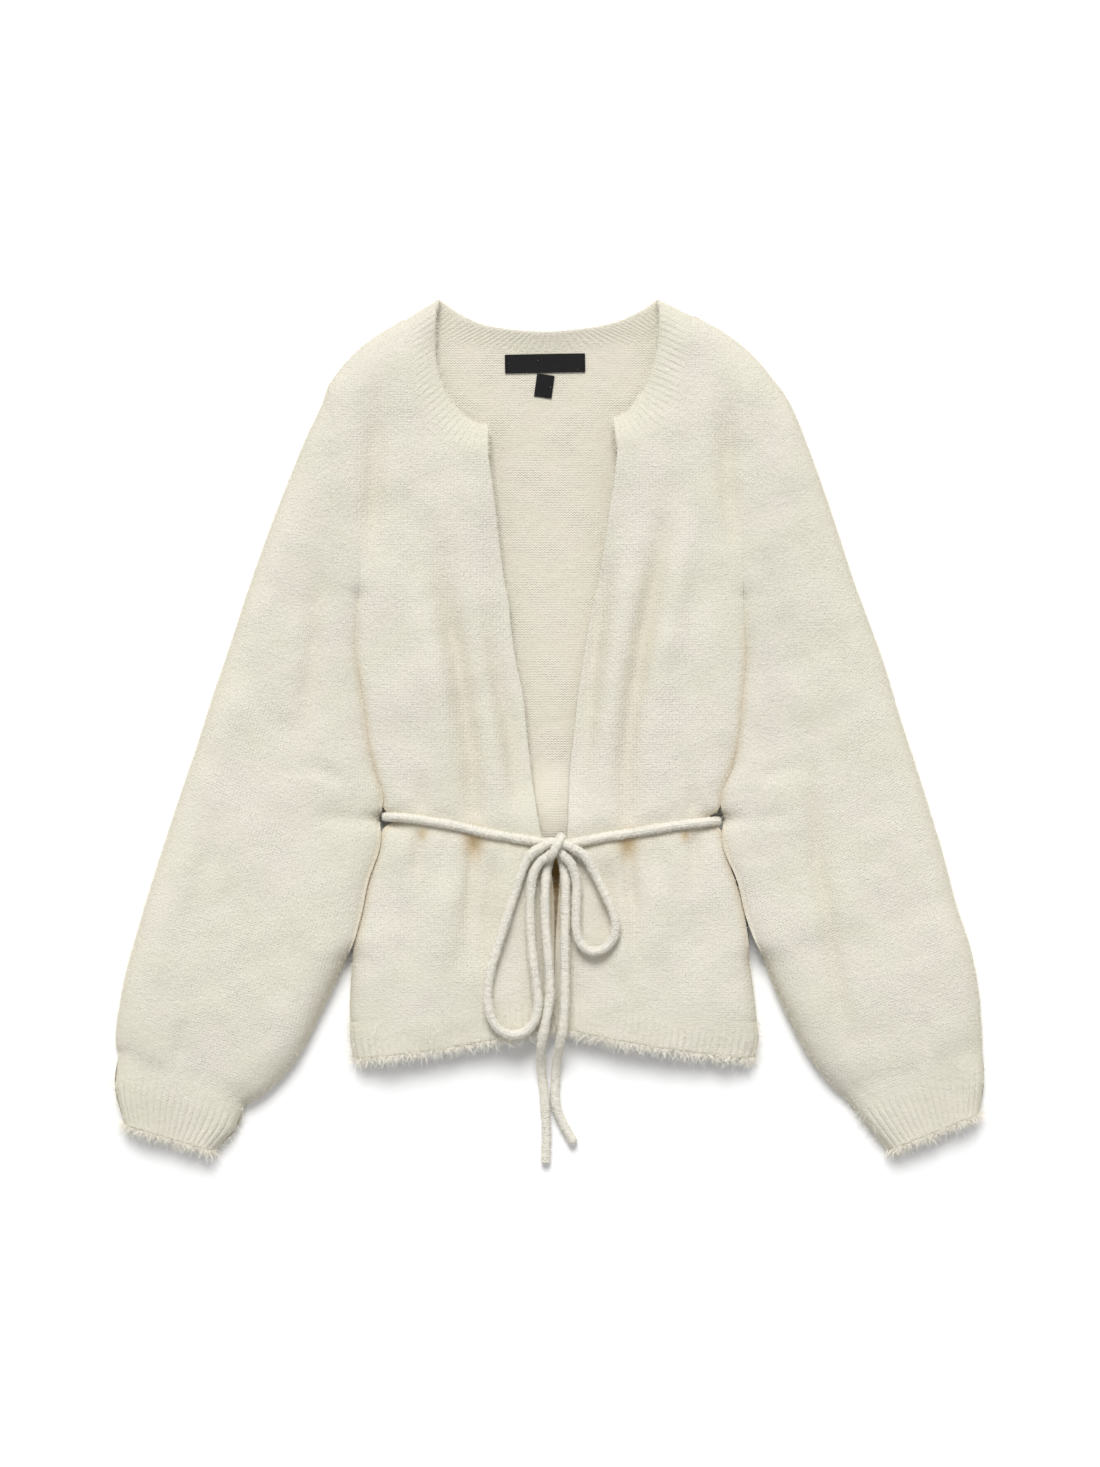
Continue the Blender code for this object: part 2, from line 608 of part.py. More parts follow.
def make_back():
    """The back panel: flat on the surface, and raised over the belt that passes under it."""
    low = [(HEM_SEAM_ROW[0],) * 2]
    low.extend((row[0],) * 2 for row in reversed(SKIRT_ROWS))
    for step in BACK_BELT_STEPS:
        low.append((BELT_ROW["left"][0] - step, BELT_ROW["right"][0] - step))
    low.extend((row[0],) * 2 for row in reversed(FRONT_ROWS))
    rows = [((side_x("left", ly), ly), (side_x("right", ry), ry), 0.0) for ly, ry in low]
    for share in reversed(ARMHOLE_STEPS):
        rows.append((armhole_point("left", share, -SEAM_HALF_GAP),
                     armhole_point("right", share, -SEAM_HALF_GAP), 1 - share))
    top, shares = back_columns()
    start_y, end_y = top[0][1], top[-1][1]
    upper, under = [], []
    for (ax, ay), (bx, by), lift in rows:
        upper_row, under_row = [], []
        for (x, y), share in zip(top, shares):
            bulge = y - (start_y + (end_y - start_y) * share)
            place_x = ax + (bx - ax) * share
            place_y = ay + (by - ay) * share + bulge * lift**1.3 + arch(ay, share)
            z = belt_ridge(place_x, place_y)
            under_row.append((place_x, place_y, z))
            upper_row.append((place_x, place_y, z + WALL))
        upper.append(upper_row)
        under.append(under_row)
    layers_object("back", upper, under, KNIT)


def make_back_hem():
    """The hem of the back, plain because its ribs lie against the surface."""
    seam_y = HEM_SEAM_ROW[0] - 2 * SEAM_HALF_GAP
    upper, under = [], []
    for y in (seam_y - HEM_DEPTH + 1, seam_y - HEM_DEPTH / 2, seam_y):
        left, right = side_x("left", y), side_x("right", y)
        places = [(left + (right - left) * share, y + arch(y, share))
                  for share in back_columns()[1]]
        upper.append([(*place, WALL) for place in places])
        under.append([(*place, 0.0) for place in places])
    layers_object("hem_back", upper, under, KNIT)


def make_back_neckband():
    """The neckband inside the back neck, which leans up towards its top edge."""
    count = 2 * round(1.15 * (BACK_NECK_SEAM[-1][0] - BACK_NECK_SEAM[0][0]) / RIB_PITCH)
    seam = [(i / (len(BACK_NECK_SEAM) - 1), *p) for i, p in enumerate(BACK_NECK_SEAM)]
    edge = [(i / (len(BACK_NECK_TOP) - 1), *p) for i, p in enumerate(BACK_NECK_TOP)]
    upper, under = [], []
    for n in range(count + 1):
        share = n / count
        i = min(int(share * (len(seam) - 1)), len(seam) - 2)
        low = Vector(seam[i][1:3]).lerp(Vector(seam[i + 1][1:3]), share * (len(seam) - 1) - i)
        high = Vector(smooth(edge, share))
        low += (high - low).normalized() * 2 * SEAM_HALF_GAP
        raised = rib(n) if 0 < n < count else 0.0
        upper_row, under_row = [], []
        for step in (0, 0.5, 1):
            x, y = low.lerp(high, step)
            lift = BACK_NECK_LIFT * step**1.5 * max(1 - (x / BACK_NECK_HALF) ** 2, 0)
            under_row.append((x, y, lift))
            upper_row.append((x, y, lift + WALL - RIB_DEPTH / 2 + raised))
        upper.append(upper_row)
        under.append(under_row)
    layers_object("neckband_back", upper, under, KNIT)


def ring_walls(places, widths, outward):
    """Inner points of a ring: its outer ones moved in by the wall, in the ring's own plane."""
    inner = []
    count = len(places)
    for i in range(count):
        (pa, pz), (na, nz) = widths[i - 1], widths[(i + 1) % count]
        length = math.hypot(na - pa, nz - pz)
        move_a, move_z = (nz - pz) / length, -(na - pa) / length
        x, y, z = places[i]
        inner.append((x + outward.x * move_a * WALL, y + outward.y * move_a * WALL,
                      z + move_z * WALL))
    return inner


SLEEVE_TOP = (0, 0.012, 0.04, 0.085, 0.15, 0.23, 0.32, 0.41, 0.5, 0.59, 0.68, 0.77, 0.85,
              0.915, 0.96, 0.988, 1)
UNDER_STEPS = ((0.98, 0.5), (0.93, 0), (0.65, 0), (0.35, 0), (0.07, 0), (0.02, 0.5))


def tube_rings(rows, top_steps, height, raised=None):
    """Outer and inner rings of a tube that lies flattened on the surface."""
    outer, inner = [], []
    for index, (start, end, bow) in enumerate(rows):
        start, end = Vector(start), Vector(end)
        across = (end - start).normalized()
        width = (end - start).length
        places, flat = [], []
        for share in top_steps:
            x, y = bow(share) if bow else start.lerp(end, share)
            z = height(index, x, y) if 0 < share < 1 else EDGE_HEIGHT
            places.append((x, y, z))
            flat.append((share * width, z))
        for share, z in UNDER_STEPS:
            x, y = bow(share) if bow else start.lerp(end, share)
            places.append((x, y, z))
            flat.append((share * width, z))
        inner.append(ring_walls(places, flat, across))
        if raised:
            for k in range(1, len(top_steps) - 1):
                (pa, pz), (na, nz) = flat[k - 1], flat[k + 1]
                length = math.hypot(na - pa, nz - pz)
                x, y, z = places[k]
                move_a, move_z = -(nz - pz) / length * raised(k), (na - pa) / length * raised(k)
                places[k] = (x + across.x * move_a, y + across.y * move_a, z + move_z)
        outer.append(places)
    return outer, inner


def make_sleeve(side):
    """One sleeve, a flattened tube from the armhole to the cuff."""
    table = SLEEVE[side]
    rows = []
    for index, row in enumerate(table):
        bow = None
        if index < 3:
            fade = 1 - index / 3
            start, end = Vector(row[0:2]), Vector(row[2:4])

            def bow(share, start=start, end=end, fade=fade):
                x, y = start.lerp(end, share)
                out = ARMHOLE_BOW * math.sin(math.pi * share**1.5) * fade
                return x - sign(side) * (out - SEAM_HALF_GAP), y
        rows.append((row[0:2], row[2:4], bow))

    def height(index, x, y):
        return sleeve_height(side, index / (len(table) - 1), x, y)

    outer, inner = tube_rings(rows, SLEEVE_TOP, height)
    layers_object("sleeve_" + side, outer, inner, KNIT, closed=True)


def make_cuff(side):
    """One cuff, a ribbed tube that the sleeve is gathered into."""
    table = CUFF[side]
    rows = [(row[0:2], row[2:4], None) for row in table]
    lines = [[row[0:2] for row in table], [row[2:4] for row in table]]
    count = 2 * CUFF_RIBS
    steps = [i / count for i in range(count + 1)]
    steps[1:1] = [0.01]
    steps[-1:-1] = [0.99]

    def height(index, x, y):
        away = roll(2 * nearest(x, y, lines[0])[0]) * roll(2 * nearest(x, y, lines[1])[0])
        return EDGE_HEIGHT + (CUFF_RISE[index] - EDGE_HEIGHT) * away

    outer, inner = tube_rings(rows, steps, height, raised=rib)
    layers_object("cuff_" + side, outer, inner, KNIT, closed=True)


def cord(name, route):
    """A round cord along a smooth curve through its route, with more points where it bends."""
    lengths = [0.0]
    for a, b in zip(route, route[1:]):
        lengths.append(lengths[-1] + math.dist(a, b))
    table = [(length, *point) for length, point in zip(lengths, route)]

    def heading(at):
        return Vector(smooth(table, at + 0.5)) - Vector(smooth(table, at - 0.5))

    stations = [0.0]
    for a, b in zip(lengths, lengths[1:]):
        parts = max(math.ceil(heading(a).angle(heading(b)) / CORD_TURN), 1)
        stations.extend(a + (b - a) * (k + 1) / parts for k in range(parts))
    data = bpy.data.curves.new(name, "CURVE")
    data.dimensions = "3D"
    data.bevel_depth = CORD_DIAMETER / 2 * MM
    data.bevel_resolution = 2
    data.use_fill_caps = True
    spline = data.splines.new("POLY")
    spline.points.add(len(stations) - 1)
    for point, at in zip(spline.points, stations):
        x, y, z = smooth(table, at)
        point.co = (x * MM, (y - ORIGIN_Y) * MM, z * MM, 1)
    add_object(name, data, CORD_KNIT)


def make_knot():
    """The belt's knot, a rounded lump where the cords meet."""
    bpy.ops.mesh.primitive_uv_sphere_add(segments=16, ring_count=10, radius=1)
    knot = bpy.context.object
    knot.name = knot.data.name = "belt_knot"
    for vertex in knot.data.vertices:
        vertex.co = [(c + p * h) * MM for c, p, h in zip(
            (KNOT_CENTRE[0], KNOT_CENTRE[1] - ORIGIN_Y, KNOT_CENTRE[2]), vertex.co, KNOT_HALF)]
    for owner in knot.users_collection:
        owner.objects.unlink(knot)
    COLLECTION.objects.link(knot)
    knot.data.materials.append(CORD_KNIT)


def make_label(name, sizes):
    """A bare woven label that lies on the inside of the back."""
    x, y, width, height, thickness, turn = sizes
    bpy.ops.mesh.primitive_cube_add(size=1)
    label = bpy.context.object
    label.name = label.data.name = name
    for vertex in label.data.vertices:
        vertex.co = [c * s * MM for c, s in zip(vertex.co, (width, height, thickness))]
    low = WALL + LAYER_GAP
    label.location = (x * MM, (y - ORIGIN_Y) * MM, (low + thickness / 2) * MM)
    label.rotation_euler = (0, 0, math.radians(turn))
    for owner in label.users_collection:
        owner.objects.unlink(label)
    COLLECTION.objects.link(label)
    label.data.materials.append(LABEL_WEAVE)


for leftover in list(bpy.data.objects):
    bpy.data.objects.remove(leftover, do_unlink=True)
COLLECTION = bpy.data.collections.new("wrap_cardigan")
bpy.context.scene.collection.children.link(COLLECTION)
KNIT = material("brushed_wool_knit", CREAM, 0.95)
CORD_KNIT = material("knitted_belt_cord", CREAM, 0.9)
LABEL_WEAVE = material("black_woven_label", INK_BLACK, 0.6)

make_back()
make_back_hem()
make_back_neckband()
for each_side in ("left", "right"):
    make_front(each_side)
    make_front_hem(each_side)
    make_neckband(each_side)
    make_sleeve(each_side)
    make_cuff(each_side)
make_label("label_main", MAIN_LABEL)
make_label("label_care", CARE_LABEL)
cord("belt_front_left", BELT_FRONT_LEFT)
cord("belt_front_right", BELT_FRONT_RIGHT)
cord("belt_back", BELT_BACK)
make_knot()
cord("bow_loop_left", BOW_LOOP_LEFT)
cord("bow_loop_right", BOW_LOOP_RIGHT)
cord("belt_tail_left", BELT_TAIL_LEFT)
cord("belt_tail_right", BELT_TAIL_RIGHT)
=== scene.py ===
"""The looks of a cream brushed-knit wrap cardigan, laid flat with its cord belt tied in a bow.

Each knitted panel is a thin closed shell on the form of its own solid: soft folds, rolled
edges and raised ribs are in the mesh, and the stitches and the nap are in the materials.
Short fibres stand on the shells, longer at the hem and the cuffs, as on brushed wool.
Tables are in millimetres, x to the viewer's right and y up to the neck, as the maker's
pattern has them. ORIGIN_Y moves them to the frame's origin, and MM turns them to metres.
"""

import math

import bpy
import numpy as np
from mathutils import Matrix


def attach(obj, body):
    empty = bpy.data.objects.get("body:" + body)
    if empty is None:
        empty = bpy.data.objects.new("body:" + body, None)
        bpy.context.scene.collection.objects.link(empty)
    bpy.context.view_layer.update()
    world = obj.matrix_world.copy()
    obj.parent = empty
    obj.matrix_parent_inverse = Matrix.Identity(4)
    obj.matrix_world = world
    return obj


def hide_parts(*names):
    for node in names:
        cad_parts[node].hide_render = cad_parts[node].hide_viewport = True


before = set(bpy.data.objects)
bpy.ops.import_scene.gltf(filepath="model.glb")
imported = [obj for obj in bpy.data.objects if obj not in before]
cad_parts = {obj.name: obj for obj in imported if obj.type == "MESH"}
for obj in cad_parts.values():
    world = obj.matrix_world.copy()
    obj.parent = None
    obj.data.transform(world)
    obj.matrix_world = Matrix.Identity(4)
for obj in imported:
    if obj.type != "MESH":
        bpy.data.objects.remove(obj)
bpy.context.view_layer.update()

# Sizes of the cloth
MM = 0.001
ORIGIN_Y = 7.0
WALL = 2.6
LAYER_GAP = 0.4
SEAM_HALF_GAP = 0.3
EDGE_HEIGHT = WALL + LAYER_GAP
ROLL_WIDTH = 30.0
ROLL_POWER = 2.4
RIB_PITCH = 5.3
RIB_DEPTH = 1.5
RIB_STEPS = 8
HEM_DEPTH = 28.0
GRID = 2.4
WALE = 2.65
COURSE = 2.0

# Sizes of the belt and of what it does to the cloth
CORD_DIAMETER = 8.0
CORD_RADIUS = 3.55
CORD_SIDES = 20
CORD_STEP = 1.2
CORD_UNEVENNESS = 0.05
CORD_ENDS = (2.5, 2.5)
SHORT_CORD_ENDS = (1.5, 1.5)
KNOT_RUN_ON = 3.0
WAIST_RISE = 18.0
BELT_DIP = 9.0
BELT_RIDGE = CORD_DIAMETER + 1.5 * LAYER_GAP
BELT_RIDGE_REACH = 16.0
BELT_SWELL_REACH = 50.0
BELT_SWELL_EDGE = 40.0
BELT_BACK_SPAN = (-111, 113)
WAIST_Y = -68.5
WAIST_REACH = 7.0

# Where sleeve and side touch: how much of their rolled edges meets, and how far the sleeve
# goes into the body, from which y upwards
TUCK = 8.0
TUCK_SWELL = 2.0
TUCK_LOW_Y = -184.0
TUCK_FADE = 22.0
TUCK_POWER = 12

# How the edges of the opening, the neck and the armholes lie
OPENING_DROOP = 7.5
OPENING_DROOP_REACH = 16.0
OPENING_DROOP_BELT = 40.0
OPENING_DROOP_TOP_Y = 222.0
OPENING_DROOP_FADE = 110.0
NECK_DROOP = 6.5
BACK_NECK_LIFT = 2.5
BACK_NECK_HALF = 88.0
ARMHOLE_BOW = 9.0
NECK_CORNER = 0.6
HEM_BOW = 3.0
HEM_ARCH = 30.0
HEM_SEAM_Y = -231.0

# How strongly warm shade is painted in folds, beside the belt, at the sides, in pinches and under the
# knot
FOLD_SHADE = 0.14
BELT_SHADE = 0.16
SIDE_SHADE = 0.3
PINCH_SHADE = 0.7
KNOT_SHADE = 0.6

# How thick the fibres stand, as a share of a panel's: on the ribs' free edges, on the hem's
# faces, on cuffs, at the edges of tubes and on cords
RIB_EDGE_HALO = 3.0
HEM_HALO = 0.25
CUFF_HALO = 0.12
TUBE_EDGE_HALO = 0.4
CORD_HALO = 0.55

# Side edge of the body, hem to underarm: y, left x, right x
SIDE_EDGE = (
    (-262, -157, 163), (-245, -160, 167), (-231, -160.5, 166), (-214, -160.5, 164.2),
    (-190, -159, 161), (-168, -156, 158), (-142, -149.5, 154), (-124, -146, 149.5),
    (-110, -142.5, 144.5), (-96, -138.2, 140.7), (-87, -135.8, 138.6), (-79, -134.2, 136.8),
    (-74, -130.6, 133.2), (-68.5, -122.8, 125.3), (-63, -130.4, 132.8), (-58, -133.6, 136.2),
    (-48, -134.9, 137.8), (-36, -138, 141.5),
    (-22, -142, 146.5), (-5, -145.7, 151), (20, -148.5, 153), (40, -151.5, 154.8),
    (60, -154.6, 156.6), (85, -154.4, 156.2), (109, -153.2, 154.7),
)

# Edge of each front along the opening: y, left x, right x
OPENING_EDGE = (
    (-245, 2, 4), (-207, 2.5, 4.4), (-170, 2.6, 5.2), (-140, 2.5, 7), (-117, 1, 9),
    (-104, -1.5, 11.5), (-94, -4.5, 13), (-86, -6.5, 14), (-75, -9, 15), (-55, -12.3, 15.5),
    (-31, -16, 16.5), (0, -19.5, 20), (33, -23, 24), (60, -28.5, 28), (84, -32, 31.7),
    (106, -34, 36), (120, -37, 39), (150, -41, 44), (190, -45.5, 50), (221, -50, 54.5),
)

# Armhole, from the shoulder point to the underarm: shoulder x, y, underarm x, y
ARMHOLE = {"left": (-178.3, 279, -153.5, 109), "right": (180, 283, 155, 109)}

# Neckband of each front: share of the armhole, seam x, seam y, inner edge x, inner edge y
NECKBAND = {
    "left": (
        (0, -116, 332, -90, 348), (0.06, -115.5, 322, -92, 337), (0.14, -114, 304, -92.3, 318),
        (0.22, -111.5, 281, -91, 297), (0.3, -107.5, 261, -86, 279), (0.4, -97, 242, -76, 262),
        (0.5, -78, 226.5, -63, 250.5), (0.6, -50.2, 221, -50, 247),
    ),
    "right": (
        (0, 114, 335, 87, 348), (0.06, 113.8, 325, 88.5, 338), (0.14, 113, 306, 87, 318),
        (0.22, 110.5, 286, 84, 299), (0.3, 105.5, 268, 78, 281), (0.4, 94, 247, 70, 268),
        (0.5, 77, 232, 61, 257), (0.6, 54.8, 226, 51, 253),
    ),
}

# Where the rows of a front over the underarm reach the opening: share of the armhole, y
OPENING_ROWS = ((0.6, 221), (0.74, 198), (0.86, 164), (0.94, 141), (0.98, 129), (1, 120))

# Outward bow of the rows of a front near the shoulder: share of the armhole, bow
SHOULDER_BOW = ((0, 6.5), (0.06, 5), (0.14, 3.5), (0.22, 2), (0.3, 1), (0.4, 0), (1, 0))

# Rows of a front under the underarm: y at the side, y at the opening
LOW_ROWS = {
    "left": ((-231, -207), (-208, -193), (-186, -180), (-160, -160), (-136, -140),
             (-113, -121), (-88.5, -108), (-66.5, -86), (-44.5, -64), (-26, -38), (-2, -4),
             (28, 33), (58, 64), (85, 94), (109, 120)),
    "right": ((-231, -207), (-208, -193), (-186, -180), (-160, -160), (-136, -140),
              (-113, -121), (-92.5, -110), (-70.5, -88), (-48.5, -66), (-26, -38), (-2, -4),
              (28, 33), (58, 64), (85, 94), (109, 120)),
}

# How much of the rise of its hem each lower row of the back has: y, share
BACK_ARCH = ((-262, 1), (-231, 1), (-208, 0.8), (-186, 0.55), (-160, 0.3), (-136, 0.12),
             (-113, 0), (400, 0))

# Height of the fronts away from their edges: y, height
BODY_RISE = (
    (-262, 17), (-230, 19.2), (-190, 20.4), (-130, 20.2), (-70, 20.2), (-20, 20.4), (40, 21),
    (150, 20), (250, 18), (330, 15.5), (350, 15),
)

# Height of a sleeve: share of its length, height
SLEEVE_RISE = (
    (0, 20), (0.25, 21), (0.5, 23), (0.68, 24), (0.8, 22.8), (0.9, 19.6), (0.96, 17.9), (1, 17.5),
)

# Sleeves, shoulder to cuff: outer x, outer y, inner x, inner y
SLEEVE = {
    "left": (
        (-178.3, 279, -153.8, 109), (-185, 260, -155.2, 84), (-196, 237, -155.6, 58),
        (-213, 195, -150.9, 28), (-229, 153, -148, 2), (-244, 110, -143.4, -24),
        (-258, 67, -135.6, -46), (-271, 29, -136.6, -68), (-284, -12, -138.2, -92),
        (-297, -50, -146.8, -117), (-309.5, -88, -153.2, -147), (-321, -124, -162, -177),
        (-331.5, -160, -173, -201), (-340, -190, -186, -228), (-345.5, -217, -202, -259),
        (-348.5, -238, -219, -280), (-348.5, -250, -233, -292), (-346.5, -256, -244.5, -298),
    ),
    "right": (
        (180, 283, 155.5, 109), (188, 273, 157.2, 84), (198, 254, 157.6, 58),
        (215, 209, 154.9, 28), (230, 165, 152.8, 2), (244, 122, 148.6, -24),
        (257, 87, 138.8, -46), (269, 53, 139.2, -69), (281, 13, 140.6, -92),
        (293, -24, 151.2, -117), (305, -62, 158.6, -147), (316, -99, 170, -177),
        (326, -137, 180.5, -204), (337, -170, 193, -232), (344, -205, 209, -261),
        (346, -230, 223, -279), (347, -244, 231, -287), (347, -251, 240, -295),
    ),
}

# Cuffs, seam to opening: outer x, outer y, inner x, inner y
CUFF = {
    "left": ((-346.6, -256.6, -244.6, -298.6), (-349.3, -283, -252.5, -318),
             (-342.3, -312, -268, -334)),
    "right": ((347, -251.6, 240.2, -295.6), (348.6, -278, 252, -311), (345.2, -303, 270.5, -333)),
}
CUFF_RISE = (17.5, 16.5, 15.5)
CUFF_RIBS = 19

# Seam between the back panel and the back neckband: x, y
BACK_NECK_SEAM = (
    (-116, 332), (-103, 320.5), (-89, 314), (-67, 310), (-39, 306.5), (-4, 305.5), (37, 308),
    (72, 313), (88, 317), (101, 323), (114, 335),
)

# Top edge of the back neckband: x, y
BACK_NECK_TOP = (
    (-90, 348), (-80, 340), (-60, 329.5), (-40, 325), (-20, 322.5), (0, 321.5), (20, 323.5),
    (40, 326.5), (60, 332), (78, 341), (87, 348),
)

# Main folds, soft troughs, or ridges where the depth is under 0: depth, half width, points
FOLDS = {
    "left_opening_trough": (6.5, 10, ((-94, 196), (-84, 110), (-72, 45), (-63, -18),
                                      (-61, -84), (-62, -112))),
    "left_opening_ridge": (-3.0, 11, ((-108, 130), (-96, 60), (-88, 0), (-84, -50))),
    "left_edge_trough": (4.5, 8, ((-60, 128), (-46, 60), (-35, 8), (-27, -48), (-24, -84))),
    "left_belt_pinch": (4.5, 6.5, ((-61, -50), (-61, -94), (-65, -140), (-68, -205))),
    "left_skirt_trough": (3.5, 9, ((-44, -88), (-48, -130), (-50, -200))),
    "left_side_pinch": (3.0, 6, ((-107, -136), (-105, -76), (-102, -24))),
    "left_skirt_ridge": (-3.0, 10, ((-80, -100), (-84, -150), (-86, -205))),
    "left_armhole_trough": (4.5, 10, ((-140, 296), (-140, 237), (-141, 200), (-143, 160),
                                      (-146, 112))),
    "right_opening_trough": (7.0, 10, ((106, 246), (89, 150), (76, 88), (65, 24), (60, -28),
                                       (62, -84), (63, -112))),
    "right_opening_ridge": (-3.0, 11, ((116, 190), (102, 120), (88, 50), (82, -30))),
    "right_edge_trough": (4.0, 8, ((50, 170), (42, 110), (35, 50), (30, -20), (28, -80))),
    "right_belt_pinch": (4.5, 6.5, ((62, -50), (62, -96), (66, -140), (71, -208))),
    "right_skirt_trough": (3.5, 9, ((47, -90), (46, -140), (43, -202))),
    "right_side_pinch": (3.0, 6, ((117, -136), (115, -78), (112, -24))),
    "right_skirt_ridge": (-3.0, 10, ((84, -100), (88, -150), (88, -205))),
    "right_armhole_trough": (4.5, 10, ((141, 298), (141, 237), (142, 200), (145, 160),
                                       (148, 112))),
    "right_sleeve_trough": (3.5, 8, ((203, 30), (214, -100), (232, -215), (246, -268))),
    "left_sleeve_trough": (2.5, 9, ((-184, 150), (-190, 60), (-205, -40))),
}

# Small creases between the main folds, in the same columns
CREASES = {
    "left_gather_one": (1.3, 3.5, ((-84, -60), (-83, -84), (-86, -112))),
    "left_gather_two": (1.1, 3.0, ((-38, -66), (-37, -86), (-40, -110))),
    "left_gather_three": (1.0, 3.2, ((-118, -52), (-116, -74), (-121, -98))),
    "right_gather_one": (1.2, 3.4, ((84, -58), (85, -84), (88, -116))),
    "right_gather_two": (1.0, 3.0, ((38, -68), (38, -88), (41, -108))),
    "right_gather_three": (1.1, 3.2, ((100, -50), (98, -76), (103, -102))),
    "left_skirt_soft": (1.5, 9, ((-112, -130), (-116, -170), (-118, -222))),
    "left_skirt_inner": (1.2, 8, ((-30, -140), (-32, -176), (-29, -212))),
    "right_skirt_soft": (1.4, 9, ((112, -128), (117, -168), (116, -218))),
    "right_skirt_inner": (1.1, 8, ((34, -130), (37, -172), (35, -206))),
    "left_chest_soft": (1.4, 10, ((-118, 214), (-112, 140), (-108, 66))),
    "right_chest_soft": (1.2, 10, ((126, 196), (120, 132), (118, 60))),
    "left_elbow_one": (1.6, 7, ((-160, -40), (-182, -30), (-206, -26))),
    "left_elbow_two": (1.3, 7, ((-152, -70), (-176, -66), (-196, -70))),
    "left_forearm": (1.5, 9, ((-262, -60), (-282, -130), (-290, -200))),
    "right_elbow_one": (1.5, 7, ((160, -38), (184, -30), (210, -22))),
    "right_elbow_two": (1.2, 7, ((156, -74), (180, -66), (202, -66))),
    "right_forearm": (1.4, 9, ((276, -40), (296, -110), (304, -190))),
    "left_cuff_gather": (1.4, 5, ((-290, -220), (-296, -250), (-300, -276))),
    "right_cuff_gather": (1.4, 5, ((298, -214), (300, -244), (300, -270))),
}

# Spots of painted warm shade in the deepest hollows, where the belt pinches the fronts: x, y, reach
PINCH_SHADE_SPOTS = ((-61, -88, 8), (-102, -80, 3.5), (62, -89, 8), (108, -82, 3.5))

# The belt cord's routes: x, y, z
BELT_FRONT_LEFT = (
    (-112, -66.8, 4), (-118, -66.8, 4), (-123.2, -66.7, 4), (-128.9, -66.6, 6.3),
    (-131.2, -66.6, 12), (-128.9, -66.6, 17.7), (-123.2, -66.7, 20), (-114, -67.4, 20.2),
    (-98, -69.8, 20), (-80, -72.8, 20), (-64, -76.4, 20), (-50, -79.6, 20),
    (-34, -82.4, 20), (-20, -84.8, 20), (-10, -86.4, 20.1), (-4, -87.2, 20.2),
)
BELT_FRONT_RIGHT = (
    (114.5, -70.2, 4), (120.5, -70.2, 4), (125.7, -70.3, 4), (131.4, -70.4, 6.3),
    (133.7, -70.4, 12), (131.4, -70.4, 17.7), (125.7, -70.6, 20), (116.5, -71.6, 20.2),
    (98, -74, 20), (80, -77, 20), (60, -80.2, 20), (44, -82.6, 20), (30, -85.6, 20),
    (20, -87.4, 20.1), (15, -88.2, 20.2),
)
BELT_BACK = ((-111.6, -66.8, 4), (-60, -67.4, 4), (0, -68.4, 4), (60, -69.4, 4),
             (114.1, -70.2, 4))
BOW_LOOP_LEFT = (
    (-5.2, -90, 28.1), (-13, -94.2, 27.8), (-20, -104, 26.4), (-27, -124, 25.4),
    (-35, -149, 25.6), (-42, -171, 26), (-47.5, -190, 26), (-49.6, -207, 25.6),
    (-48, -223, 25.2), (-42, -234.5, 24.8), (-32, -240, 24.6), (-21.5, -238.5, 24.6),
    (-13, -230.5, 24.8), (-9.6, -217, 25.2), (-11, -199, 25.8), (-13.6, -180, 26),
    (-15.6, -155, 25.6), (-15.8, -132, 25.4), (-13.8, -114, 26), (-8.6, -103.2, 27),
    (-1.6, -97.9, 27.9),
)
BOW_LOOP_RIGHT = (
    (10.9, -97.3, 27.9), (16.6, -104, 27.2), (20.8, -116, 26), (21, -136, 25.4),
    (20.8, -153, 25.6), (24.5, -167, 25.8), (33.5, -173.6, 26), (43.5, -171, 26),
    (50.6, -162.5, 25.8), (52.2, -151, 25.6), (48.6, -138, 25.4), (42, -124, 25.4),
    (35, -110, 25.8), (27.5, -97.5, 27.4), (16.4, -90.2, 28.4),
)
BELT_TAIL_LEFT = (
    (0.6, -97.5, 19.5), (-2, -106, 20.6), (-3.4, -118, 23.4), (-4, -134, 24.2),
    (-3.6, -152, 24.8), (-2, -171, 25.4), (-0.4, -191, 25.6), (-0.2, -209, 25.2),
    (-2.6, -226, 24.8), (-5.2, -239, 24), (-6.8, -248, 20.4), (-7.4, -256.5, 14.2),
    (-7.2, -265, 8.2), (-6.4, -275, 4.8), (-4.6, -288, 4.2), (-3.8, -300, 4.2),
    (-3, -314, 4.2), (-3, -330, 4.2), (-3.6, -345, 4.2),
)
BELT_TAIL_RIGHT = (
    (9, -97.9, 19.5), (11, -106, 20.6), (12.4, -118, 23.4), (12.3, -138, 24.2),
    (12, -160, 25), (12, -186, 25.6), (11.8, -212, 25.2), (10.8, -230, 24.6),
    (9.6, -239, 23.2), (8, -248, 18.6), (6.4, -257, 12), (5, -267, 6.6),
    (4.3, -278, 4.4), (4.1, -289, 4.2), (5, -299, 4.2), (8.6, -309.5, 4.2),
    (14, -319.5, 4.2), (19.6, -329.4, 4.2),
)

